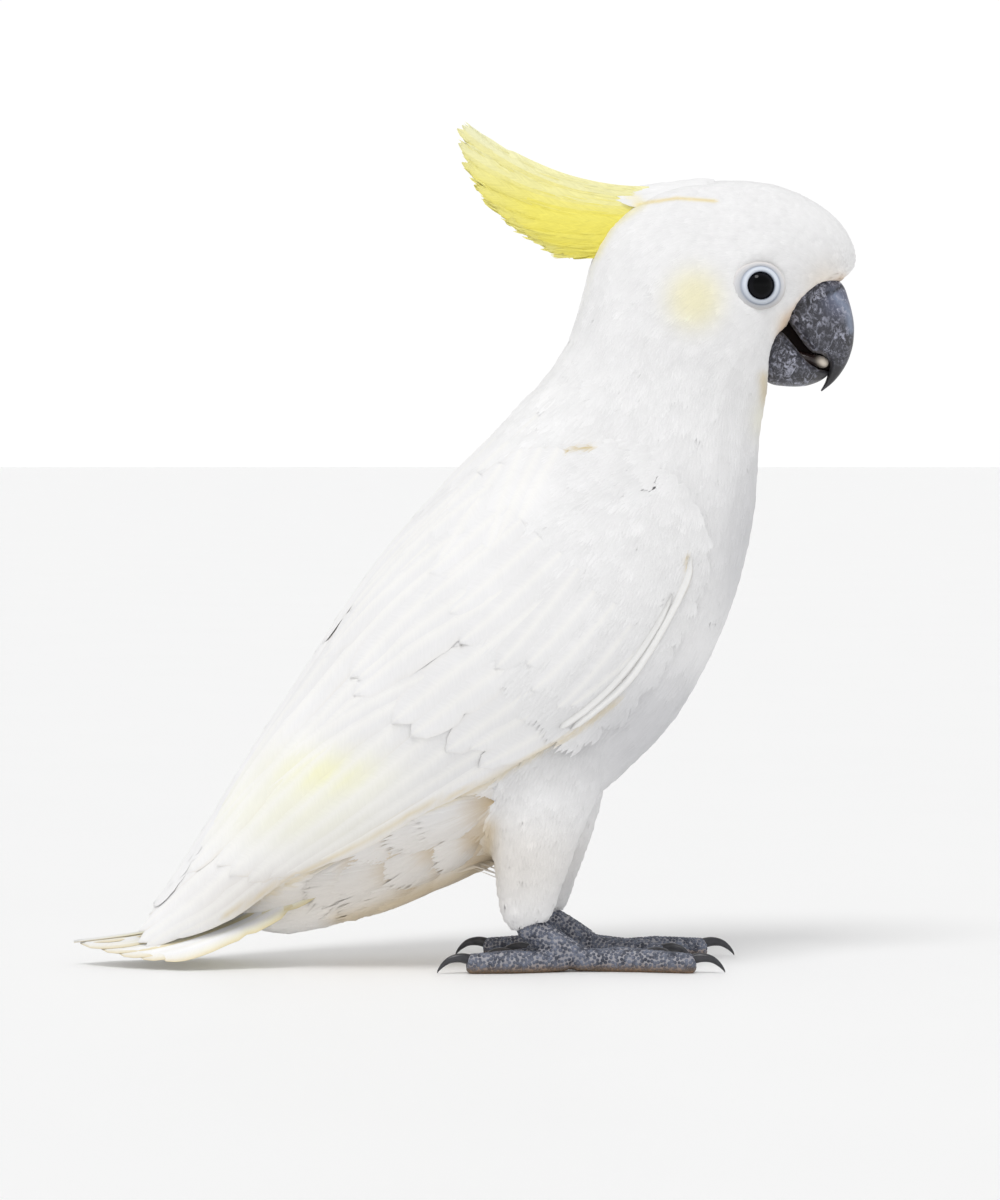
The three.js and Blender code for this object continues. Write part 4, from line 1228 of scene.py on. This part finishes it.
def plume_line(start, end, q, share):
    """A plume's line in the side view, its direction at each place and its whole length, in mm."""
    bend = (start + end) / 2 + np.array([2 * q - 4, -(CREST_SAG * (1 - q) ** 1.2 + 3 * (1 - q))])
    t = share[:, None]
    path = (1 - t) ** 2 * start + 2 * t * (1 - t) * bend + t**2 * end
    return path, unit(np.gradient(path, axis=0)), np.linalg.norm(np.diff(path, axis=0), axis=1).sum()


def sheaf_half(q, share):
    """Half the thickness of the sheaf along a plume, in mm: thinner at its top and bottom plumes."""
    return np.interp(share, [0, 0.3, 0.7, 1], [4.5, 5.5, 3.0, 0.7]) * (1 - 0.35 * abs(2 * q - 1))


def crest_bake(side, q, along=0.0):
    return np.array([0.5 + side * (0.05 + 0.4 * q), 0.955 + along])


def crest_piece(plumes=15, stations=40):
    chance = np.random.default_rng(51)
    share = np.linspace(0, 1, stations)
    starts, ends = spaced(CREST_ROOTS, plumes), spaced(CREST_TIPS, plumes)
    parcels = [[] for _ in range(5)]
    for side in (-1, 1):
        for j, q in enumerate(np.linspace(0, 1, plumes)):
            end = ends[j] + chance.normal(0, 1.2, 2) * (q > 0.02)
            path, way, length = plume_line(starts[j], end, q, share)
            across = np.stack([way[:, 1], -way[:, 0]], axis=1) * side
            half = chance.uniform(4.2, 5.2) * outline_of(share, 0.35, 0.62, 1.7) * (1 - 0.2 * q)
            torn = ragged(chance, share, 1, 5, 0.5)[0]
            half = half * np.where(share > 0.72, torn, 1)
            place = path[:, None] + across[:, None] * (half[:, None] * ACROSS)[..., None]
            lap = 0.5 * (j % 2) + chance.normal(0, 0.15)
            out = sheaf_half(q, share) - lap * np.interp(share, [0, 1], [1, 0.5])
            out = out[:, None] - 0.8 * np.abs(ACROSS) ** 2
            out = np.maximum(out + 0.3 * np.exp(-((ACROSS / 0.2) ** 2)), 0.25)
            grid = np.stack([place[..., 0] + ORIGIN, side * out, place[..., 1]], axis=-1) * 0.001
            tilt = across[:, None] * (ACROSS * 0.22)[:, None]
            up = unit(np.stack([tilt[..., 0], np.full(out.shape, float(side)), tilt[..., 1]], axis=-1))
            # deeper gold towards one edge of each plume as painted shade in the folds, and deeper gold near
            # the root
            deep = np.clip(0.1 + 0.75 * np.clip(ACROSS, 0, 1) ** 2 + chance.normal(0, 0.15), 0, 1)
            deep = deep * np.interp(share, [0, 0.4, 1], [0.8, 1.0, 0.5])[:, None]
            hue = crest_tint(q, np.broadcast_to(share[:, None], deep.shape), deep)
            along = np.broadcast_to((share * length)[:, None], deep.shape)
            uv = np.stack([half[:, None] * ACROSS, along], axis=-1) * 0.1
            for parcel, made in zip(parcels, (grid, up, hue, crest_bake(side, q), uv)):
                parcel.append(made)
    grids, ups, *rest = (np.array(parcel) for parcel in parcels)
    mesh = vanes_mesh("crest_plumes", grids, ups, 0.0005, *rest)
    piece("crest_plumes", mesh, crest_paint, "crest", "crest")


crest_piece()

WISP_WIDTHS = np.array([0.5, 1, 0.95, 0.6, 0])
WISP_THICKNESS = 0.00025 * np.array([0.6, 1, 1, 0.7, 0])
WISP_DEPTHS = np.array([1, 0.9, 0.7, 0.4, 0.2])


def crest_wisps(plumes=17, barbs=60):
    """Loose barbs along the plumes that feather their edges and tips."""
    chance = np.random.default_rng(55)
    share = np.linspace(0, 1, 60)
    steps = np.linspace(0, 1, 5)
    starts, ends = spaced(CREST_ROOTS, plumes), spaced(CREST_TIPS, plumes)
    parcels = [[] for _ in range(6)]
    for side in (-1, 1):
        for j, q in enumerate(np.linspace(0, 1, plumes)):
            path, way, length = plume_line(starts[j], ends[j], q, share)
            for k in range(barbs):
                t0 = 0.12 + 0.84 * ((k + chance.random()) / barbs) ** 0.7
                run = chance.uniform(9, 14) * min(1, 0.35 + (1 - t0) * 1.6)
                at = t0 + run * steps / length
                over = np.maximum(at - 1, 0) * length
                here, ahead = (
                    np.stack([np.interp(at, share, column) for column in rows.T], axis=1)
                    for rows in (path, way)
                )
                across = np.stack([ahead[:, 1], -ahead[:, 0]], axis=1)
                aside = chance.uniform(-3.6, 4.0) * (1 - 0.5 * t0) + chance.normal(0.2, 0.35) * steps
                if j == 0:
                    aside = np.abs(aside)
                spot = here + across * aside[:, None] + ahead * over[:, None]
                out = side * np.maximum(sheaf_half(q, at) + chance.uniform(-0.5, 0.15), 0.3)
                centre = np.stack([spot[:, 0] + ORIGIN, out, spot[:, 1]], axis=1) * 0.001
                deep = np.clip(chance.normal(0.15, 0.15), 0, 1) * WISP_DEPTHS
                for parcel, made in zip(parcels, (
                    centre, np.tile([0.0, float(side), 0.0], (5, 1)), (0.0013 - 0.0006 * t0) * WISP_WIDTHS,
                    WISP_THICKNESS, crest_tint(q, np.clip(at, 0, 1), deep), crest_bake(side, q, 0.03 * t0),
                )):
                    parcel.append(made)
    mesh = locks_mesh("crest_wisps", *(np.array(parcel) for parcel in parcels))
    piece("crest_wisps", mesh, crest_wisp_paint, "crest")


crest_wisps()

# ------------------------------------------------------------------ bill
# A heavy hooked bill of dark horn. The upper half is rooted under the face feathers and curves over the
# blunt lower one; the horn is built up in layers that flake, pale on the sides and worn glossy at the tip.

# Culmen x, z, cutting edge x, z, half the width in mm, and how far the widest place sits from the middle.
UPPER_BILL = np.array([
    (149.5, 290.6, 130.5, 276.5, 10.5, 0.25), (157.3, 286.6, 134.2, 270.6, 11.6, 0.3),
    (160.6, 279.0, 137.8, 265.6, 11.3, 0.34), (162.6, 270.0, 141.3, 261.0, 10.2, 0.36),
    (162.5, 262.5, 144.8, 257.6, 8.6, 0.36), (161.3, 257.0, 148.6, 256.8, 6.8, 0.3),
    (159.5, 252.6, 152.1, 253.4, 5.0, 0.2), (156.8, 248.3, 151.8, 249.2, 3.4, 0.1),
    (153.4, 244.5, 150.7, 245.2, 1.9, 0.0), (149.2, 241.2, 148.8, 241.7, 0.35, 0.0),
])
LOWER_BILL = np.array([
    (127.5, 267.5, 122.0, 250.0, 11.2, 0.0), (132.2, 266.8, 127.0, 244.8, 12.3, -0.1),
    (137.4, 260.6, 133.5, 243.4, 12.0, -0.15), (142.2, 254.6, 141.5, 243.4, 10.4, -0.2),
    (146.6, 251.2, 147.2, 245.0, 7.6, -0.2), (150.2, 250.2, 150.6, 247.0, 4.4, 0.0),
    (152.0, 249.6, 152.1, 248.6, 1.5, 0.0),
])
MOUTH = np.array([
    (132.0, 277.0, 129.0, 256.0, 6.0, 0.0), (140.0, 273.0, 135.0, 252.0, 4.5, 0.0),
    (146.0, 268.0, 141.0, 249.0, 2.6, 0.0), (152.5, 263.0, 146.0, 248.0, 1.8, 0.0),
    (156.0, 258.0, 150.0, 248.6, 1.8, 0.0), (156.5, 254.0, 153.0, 250.0, 0.8, 0.0),
])
TONGUE = np.array([
    (136.0, 261.0, 135.0, 253.0, 3.6, 0.0), (141.0, 258.6, 140.4, 252.0, 5.4, 0.0),
    (146.0, 257.2, 145.6, 251.0, 6.0, 0.0), (149.6, 256.2, 149.4, 250.8, 5.0, 0.0),
    (151.6, 255.0, 151.5, 251.4, 2.6, 0.0), (152.2, 253.8, 152.2, 252.8, 0.6, 0.0),
])


def revolved(name, grid):
    """A skin through rings of points (rings, around, 3), each end closed by a fan."""
    rings, around = grid.shape[:2]
    index = np.arange(rings * around).reshape(rings, around)
    turn = np.roll(index, -1, axis=1)
    faces = np.stack([index[:-1], turn[:-1], turn[1:], index[1:]], axis=-1).reshape(-1, 4).tolist()
    points = np.concatenate([grid.reshape(-1, 3), grid[[0, -1]].mean(1)])
    first = rings * around
    faces += [(first, b, a) for a, b in zip(index[0].tolist(), turn[0].tolist())]
    faces += [(first + 1, a, b) for a, b in zip(index[-1].tolist(), turn[-1].tolist())]
    mesh = bpy.data.meshes.new(name)
    mesh.from_pydata(points.tolist(), [], faces)
    bm = bmesh.new()
    bm.from_mesh(mesh)
    bmesh.ops.recalc_face_normals(bm, faces=bm.faces)
    bm.to_mesh(mesh)
    bm.free()
    return mesh


def horn_loft(name, rows, steps, around, square=2.2):
    """A smooth closed body through sections of the side view."""
    stations = np.linspace(0, len(rows) - 1, (len(rows) - 1) * steps + 1)
    ux, uz, lx, lz, half, full = np.moveaxis(eased(rows, stations[:, None]), -1, 0)
    angle = np.linspace(0, 2 * math.pi, around, endpoint=False)
    down = np.sign(np.cos(angle)) * np.abs(np.cos(angle)) ** (2 / square)
    out = np.sign(np.sin(angle)) * np.abs(np.sin(angle)) ** (2 / square) * (1 + full * down)
    x = (ux + lx) / 2 + (lx - ux) / 2 * down
    z = (uz + lz) / 2 + (lz - uz) / 2 * down
    return revolved(name, np.stack([x + ORIGIN, half * out, z], axis=-1) * 0.001)


horn = Finish("horn", 0.42, 0.45)
horn_squash = {"Vector": horn.space(), "Scale": (1.0, 0.6, 0.8)}
horn_place = horn.node("ShaderNodeMapping", horn_squash).outputs["Vector"]
horn_flakes = horn.node("ShaderNodeTexNoise", {
    "Vector": horn_place, "Scale": 520.0, "Detail": 6.0, "Roughness": 0.72, "Distortion": 0.9,
}).outputs["Fac"]
horn_clouds = horn.span(horn.grain(150.0, 2.0), (0.38, 0.58), (0.25, 1.0))
horn_flaky = horn.math("MULTIPLY", horn.span(horn_flakes, (0.48, 0.62)), horn_clouds)
horn_flaky = horn.math("MULTIPLY", horn_flaky, horn.tint("Alpha"))
horn.feed("Base Color", horn.blend(horn_flaky, horn.tint(), (0.42, 0.43, 0.52)))
horn.feed("Roughness", horn.span(horn_flaky, (0.0, 1.0), (0.34, 0.75)))
horn.bump(horn.math("MULTIPLY_ADD", horn_flakes, 0.6, horn.cells(horn_place, 420.0)), 0.45, 0.0004)

HORN = np.array([0.040, 0.040, 0.050])
HORN_PATCHES = [
    ((157, 280), (8, 8), (0.11, 0.12, 0.18)), ((154, 246), (9, 8), (0.028, 0.027, 0.030)),
    ((163, 262), (4.5, 10), (0.032, 0.031, 0.036)), ((146, 246), (8, 3), (0.035, 0.033, 0.036)),
]
CULMEN_PAINTED_HIGHLIGHT = [(153.5, 282), (160, 275), (161.2, 267)]
BILL_ROOT_SHADOW = [(134.8, 271.8), (139, 276.3), (146.3, 280.3), (152, 282.3), (158.5, 285.5)]
BILL_EDGE_TONE_AND_HIGHLIGHT = [
    [(131.5, 267.3), (137.4, 260.6), (143.6, 253.4)], [(134.4, 270.2), (144.6, 257.9), (149.5, 256.4)],
]


def horn_colours(places):
    """Charcoal horn, blue-grey at the root of the culmen and darkest at the tip and edges, with a painted
    highlight along the culmen, a painted shadow where the face feathers meet the bill, and paler lines
    along the cutting edges, the one on the lower half a painted highlight.
    """
    colour = np.broadcast_to(HORN, places.shape)
    for centre, reach, target in HORN_PATCHES:
        colour = towards(colour, target, glow(places, centre, reach, 3))
    # painted highlight: a pale blue streak along the culmen
    colour = towards(colour, (0.26, 0.31, 0.42), 0.75 * beside(places, CULMEN_PAINTED_HIGHLIGHT, 1.7))
    # painted shadow: near black where the face feathers meet the bill
    colour = towards(colour, (0.008, 0.007, 0.007), beside(places, BILL_ROOT_SHADOW, 0.8))
    # paler lines along the cutting edges: brownish tone on the upper edge, a painted highlight on the lower
    # one
    for line in BILL_EDGE_TONE_AND_HIGHLIGHT:
        colour = towards(colour, (0.24, 0.22, 0.21), 0.7 * beside(places, line, 0.8))
    return colour


def horn_piece(name, rows, *replaced):
    """One half of the bill; the alpha of its colours says how much the horn flakes."""
    mesh = horn_loft(name, rows, 7, 40)
    places = arrays_of(mesh)
    worn = glow(places, (154, 247), (9, 9), 3) + 0.8 * glow(places, (164, 263), (4, 11), 3)
    tinted(mesh, np.column_stack([horn_colours(places), np.clip(1 - worn, 0, 1)]))
    piece(name, mesh, horn.paint, "bill", *replaced)


horn_piece("upper_bill", UPPER_BILL, "bill_upper")
horn_piece("lower_bill", LOWER_BILL, "bill_lower")

mouth_lining = Finish("mouth_lining", 0.5, 0.05)
# the lining is coloured near black as painted shade inside the gape
gape_shade_tone = mouth_lining.blend(mouth_lining.grain(500.0), (0.002, 0.0015, 0.0015), (0.008, 0.004, 0.003))
mouth_lining.feed("Base Color", gape_shade_tone)
piece("mouth_lining", horn_loft("mouth_lining", MOUTH, 4, 20, 2.0), mouth_lining.paint, "tongue")

TONGUE_ROOT, TONGUE_TIP_HIGHLIGHT = np.array([0.02, 0.011, 0.010]), (0.80, 0.72, 0.62)
tongue = Finish("tongue", 0.22)
tongue.feed("Base Color", tongue.tint())
tongue.bump(tongue.grain(900.0), 0.5, 0.0003)
tongue_mesh = horn_loft("tongue_body", TONGUE, 6, 24, 2.0)
# painted highlight: the tip paler, for the gleam on its wet surface
tongue_highlight = glow(arrays_of(tongue_mesh), (151, 254), (3.8, 3.4), 4)
tinted(tongue_mesh, towards(TONGUE_ROOT, TONGUE_TIP_HIGHLIGHT, tongue_highlight))
piece("tongue_body", tongue_mesh, tongue.paint, "tongue", "tongue")

# ------------------------------------------------------------------ eyes
# A glossy near-black eye sits in a bare ring of skin: a bright blue-white lid round the ball, a shallow
# groove, and a wider grey-lavender almond that ends in a corner towards the ear.

EYE_RADIUS = 0.0076
EYE_OFFSET = np.array([-0.0014, 0.0, -0.0009])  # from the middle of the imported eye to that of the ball
RING_SEAT = 0.005  # how far out along the eye the skin of the ring begins
PUPIL, IRIS = np.array([0.0008, 0.0010, 0.0014]), (0.004, 0.004, 0.006)
UPRIGHT = np.array([0.0, 0.0, 1.0])


def eye_frame(side):
    """The middle of the eyeball and the three directions of the eye: back, up and out."""
    box = np.array(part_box(f"eye_{'right' if side < 0 else 'left'}"))
    ball = box.mean(0) + EYE_OFFSET
    out = unit(np.array([0.2, side * 0.98, 0.05]))
    back = np.cross(UPRIGHT, out) * side
    back = unit(-back if back[0] > 0 else back)
    up = np.cross(back, out)
    return ball, back, up if up[2] > 0 else -up, out


eye = Finish("eye", 0.04, 0.11)
eye.feed("Base Color", eye.scaled(eye.tint(), eye.span(eye.grain(1500.0, 2.0), (0.0, 1.0), (0.6, 1.4))))
eye_skin = Finish("eye_skin", 0.55, 0.3)
eye_skin.feed("Base Color", eye_skin.tint())
eye_skin.bump(eye_skin.cells(eye_skin.space(), 1300.0), 0.35, 0.0003)

# The ring's profile: distance from the middle, height over its seat, both in mm, and colour; the darker
# colours in the groove and where the lid tucks in against the ball are painted shade.
RING = np.array([
    (5.6, -1.6, 0.20, 0.22, 0.28), (5.75, 0.35, 0.30, 0.34, 0.42), (6.1, 0.95, 0.60, 0.65, 0.74),
    (6.9, 1.15, 0.74, 0.79, 0.86), (7.6, 0.85, 0.66, 0.71, 0.80), (8.1, 0.35, 0.42, 0.46, 0.54),
    (8.6, 0.55, 0.58, 0.59, 0.62), (9.4, 0.65, 0.68, 0.68, 0.70), (10.1, 0.35, 0.72, 0.70, 0.70),
    (10.7, -0.6, 0.76, 0.74, 0.72), (10.5, -2.4, 0.7, 0.7, 0.7),
])
ring_steps = np.linspace(0, len(RING) - 1, 41)
radius, height, *ring_shade = (np.interp(ring_steps, range(len(RING)), column) for column in RING.T)
for side, word in WORDS.items():
    ball, back, up_way, out_way = eye_frame(side)
    lift = np.linspace(0.03, math.pi - 0.03, 36)[:, None, None]
    spin = np.linspace(0, 2 * math.pi, 64, endpoint=False)[:, None]
    outward = np.cos(lift) * out_way + np.sin(lift) * (np.cos(spin) * back + np.sin(spin) * up_way)
    eyeball = revolved(f"eyeball_{word}", ball + EYE_RADIUS * outward)
    gap = arrays_of(eyeball) - ball
    off_axis = np.linalg.norm(gap - (gap @ out_way)[:, None] * out_way, axis=1) * 1000
    tinted(eyeball, towards(PUPIL, IRIS, np.interp(off_axis, [0, 3.6, 4.1, 5.4, 6], [0, 0, 1, 1, 0.6])))
    piece(f"eyeball_{word}", eyeball, eye.paint, "eye", f"eye_{word}")

    spin = np.linspace(0, 2 * math.pi, 96, endpoint=False)
    almond = 1 + 0.20 * np.clip(np.cos(spin), 0, 1) ** 3 + 0.02 * np.clip(-np.cos(spin), 0, 1) ** 3
    almond = almond - 0.07 * np.abs(np.sin(spin)) ** 2
    wide = np.clip((radius - 7.4) / 3.0, 0, 1)[:, None]
    reach = radius[:, None] * (1 + (almond - 1) * wide)
    crease = 0.07 * np.sin(radius * 9)[:, None] * wide
    crease = crease + 0.05 * np.sin(spin * 19 + 2 * np.sin(spin * 3)) * wide
    skin_drop = -np.clip(np.abs(reach * np.cos(spin)) - 7, 0, 9) ** 2 / 26
    tall = height[:, None] + crease + skin_drop
    ring = (reach * np.cos(spin))[..., None] * back + (reach * np.sin(spin))[..., None] * up_way
    ring = ball + out_way * RING_SEAT + (ring + tall[..., None] * out_way) * 0.001
    lids = revolved(f"eye_ring_skin_{word}", ring)
    # painted light and shade: the ring lighter over its upper half and darker over its lower half
    painted_lit_side = 0.87 + 0.13 * np.clip(np.sin(spin) * 2 + 0.8, -1, 1)
    rim_colours = (np.stack(ring_shade, axis=1)[:, None] * painted_lit_side[:, None]).reshape(-1, 3)
    tinted(lids, np.concatenate([rim_colours, rim_colours[[0, -1]]]))
    piece(f"eye_ring_skin_{word}", lids, eye_skin.paint, "eye_skin", f"eye_ring_{word}")

# ------------------------------------------------------------------ feet
# Two toes point ahead and two behind. Grey skin is closely set with small horny scales, blue-grey above
# and brownish on the pads, and each toe ends in a curved black claw.

foot_skin = Finish("foot_skin", 0.6)
foot_grain = foot_skin.grain(350.0, 4.0)
pad = foot_skin.node("ShaderNodeSeparateXYZ", {"Vector": foot_skin.space()}).outputs["Z"]
pad = foot_skin.span(pad, (0.001, 0.0045), (1.0, 0.0))
foot_tone = foot_skin.blend(foot_grain, (0.20, 0.20, 0.23), (0.46, 0.45, 0.48))
foot_skin.feed("Base Color", foot_skin.blend(pad, foot_tone, (0.30, 0.20, 0.13)))
foot_skin.bump(foot_grain, 0.5, 0.0004)

foot_scales = Finish("foot_scales", 0.45, 0.4)
pad = foot_scales.node("ShaderNodeSeparateXYZ", {"Vector": foot_scales.space()}).outputs["Z"]
pad = foot_scales.span(pad, (0.0005, 0.0035), (1.0, 0.0))
scale_tone = foot_scales.span(foot_scales.grain(260.0), (0.35, 0.65))
scale_tone = foot_scales.blend(scale_tone, (0.045, 0.050, 0.070), (0.17, 0.19, 0.25))
foot_scales.feed("Base Color", foot_scales.blend(pad, scale_tone, (0.20, 0.14, 0.09)))


def one_scale(name, radius, height):
    """A low six-sided dome with a short skirt, closed beneath."""
    rings = [(0.45, 1.0), (0.86, 0.55), (1.0, -0.5)]
    points = [(0, 0, height)]
    for reach, level in rings:
        points += [(radius * reach * math.cos(a), radius * reach * math.sin(a), height * level)
                   for a in np.linspace(0, 2 * math.pi, 6, endpoint=False)]
    faces = [(0, 1 + k, 1 + (k + 1) % 6) for k in range(6)]
    for ring in range(2):
        at = 1 + 6 * ring
        faces += [(at + k, at + 6 + k, at + 6 + (k + 1) % 6, at + (k + 1) % 6) for k in range(6)]
    faces.append(tuple(range(18, 12, -1)))
    mesh = bpy.data.meshes.new(name)
    mesh.from_pydata(points, [], faces)
    return linked(name, mesh)


def scattered(name, ground, shape, spacing, material, seed):
    """The shape set all over the ground by Geometry Nodes, squared to it, as one plain mesh."""
    tree = bpy.data.node_groups.new(name, "GeometryNodeTree")
    sockets = tree.interface
    sockets.new_socket("Ground", in_out="INPUT", socket_type="NodeSocketGeometry")
    sockets.new_socket("Spacing", in_out="INPUT", socket_type="NodeSocketFloat").default_value = spacing
    sockets.new_socket("Seed", in_out="INPUT", socket_type="NodeSocketInt").default_value = seed
    sockets.new_socket("Geometry", in_out="OUTPUT", socket_type="NodeSocketGeometry")
    ground_in, ready = tree.nodes.new("NodeGroupInput"), tree.nodes.new("NodeGroupOutput")
    spread = tree.nodes.new("GeometryNodeDistributePointsOnFaces")
    spread.distribute_method = "POISSON"
    spread.inputs["Density Max"].default_value = 4.0 / spacing**2
    pattern = tree.nodes.new("GeometryNodeObjectInfo")
    pattern.inputs["Object"].default_value = shape
    size = tree.nodes.new("FunctionNodeRandomValue")
    size.inputs[2].default_value = 0.85
    size.inputs[3].default_value = 1.15
    copies = tree.nodes.new("GeometryNodeInstanceOnPoints")
    plain = tree.nodes.new("GeometryNodeRealizeInstances")
    painted = tree.nodes.new("GeometryNodeSetMaterial")
    painted.inputs["Material"].default_value = material
    for source, out, target, into in (
        (ground_in, "Ground", spread, "Mesh"), (ground_in, "Spacing", spread, "Distance Min"),
        (ground_in, "Seed", spread, "Seed"), (spread, "Points", copies, "Points"),
        (spread, "Rotation", copies, "Rotation"), (pattern, "Geometry", copies, "Instance"),
        (size, 1, copies, "Scale"), (copies, "Instances", plain, "Geometry"),
        (plain, "Geometry", painted, "Geometry"), (painted, "Geometry", ready, "Geometry"),
    ):
        tree.links.new(source.outputs[out], target.inputs[into])
    carrier = linked("carrier", ground)
    modifier = carrier.modifiers.new("scales", "NODES")
    modifier.node_group = tree
    made = bpy.data.meshes.new_from_object(carrier.evaluated_get(bpy.context.evaluated_depsgraph_get()))
    bpy.data.objects.remove(carrier)
    return made


SCALE_SPACING, SCALE_RADIUS, SCALE_HEIGHT = 0.0013, 0.00088, 0.00028
scale_shape = one_scale("one_scale", SCALE_RADIUS, SCALE_HEIGHT)
for side, word in WORDS.items():
    solids = [f"tarsus_{word}"] + [f"toe_{k}_{word}" for k in (1, 2, 3, 4)]
    foot = melted(solids, 0.0007, 5, 0.0002)
    piece(f"foot_{word}", foot, foot_skin.paint, "scales", *solids)
    scales = scattered(f"scales_{word}", foot.copy(), scale_shape, SCALE_SPACING, foot_scales.paint, 61)
    places = arrays_of(scales)
    places[:, 2] = np.maximum(places[:, 2], 0.00005)
    scales.vertices.foreach_set("co", places.ravel())
    scales.name = f"scales_{word}"
    piece(f"scales_{word}", scales, foot_scales.paint, "scales")
bpy.data.objects.remove(scale_shape)

claw_horn = Finish("claw_horn", 0.32)
claw_grain = claw_horn.grain(420.0, 4.0)
claw_horn.feed("Base Color", claw_horn.blend(claw_grain, (0.012, 0.012, 0.014), (0.06, 0.06, 0.07)))
claw_horn.bump(claw_grain, 0.3, 0.0003)

PALM, FOOT_SPREAD, FOOT_AHEAD = (43.5, 6.2), 24.0, 7.0
TOES = {1: (-25, -12, 1.5), 2: (33, -15, 1.5), 3: (51, 7, -2.5), 4: (-42, 8, 2.0)}  # reach ahead, out, bow
CLAW_ROOT = 0.97  # where along its toe a claw springs
# Along each claw: how far past its root, how high over the floor and its radius, in mm.
CLAW = [
    (-1.5, 5.0, 2.0), (1.5, 5.9, 2.15), (5, 6.5, 1.95), (9, 5.9, 1.5), (12, 4.0, 1.0), (14, 1.8, 0.5),
    (14.7, 0.45, 0.12),
]
for side, word in WORDS.items():
    for number, (ahead, aside, bow) in TOES.items():
        length = math.hypot(ahead, aside)
        way = np.array([ahead, side * aside, 0.0]) / length
        start = np.array([PALM[0] + (FOOT_AHEAD if side > 0 else 0) + ORIGIN, side * FOOT_SPREAD, 0.0])
        stops = np.array([(length * CLAW_ROOT + far, high, radius) for far, high, radius in CLAW])
        along, high, radius = eased(stops, np.linspace(0, len(stops) - 1, 31)).T
        centre = start + way * along[:, None] + UPRIGHT * high[:, None]
        centre[:, 1] += side * bow * np.sin(math.pi * CLAW_ROOT)
        run = unit(np.gradient(centre, axis=0))
        flat = unit(np.cross(run, UPRIGHT))
        rise = np.cross(flat, run)
        spin = np.linspace(0, 2 * math.pi, 20, endpoint=False)[:, None]
        around = 0.8 * np.cos(spin) * flat[:, None] + np.sin(spin) * rise[:, None]
        tube = centre[:, None] + radius[:, None, None] * around
        tube[..., 2] = np.maximum(tube[..., 2], 0.05)
        name = f"claw_horn_{number}_{word}"
        piece(name, revolved(name, tube * 0.001), claw_horn.paint, "claw", f"claw_{number}_{word}")
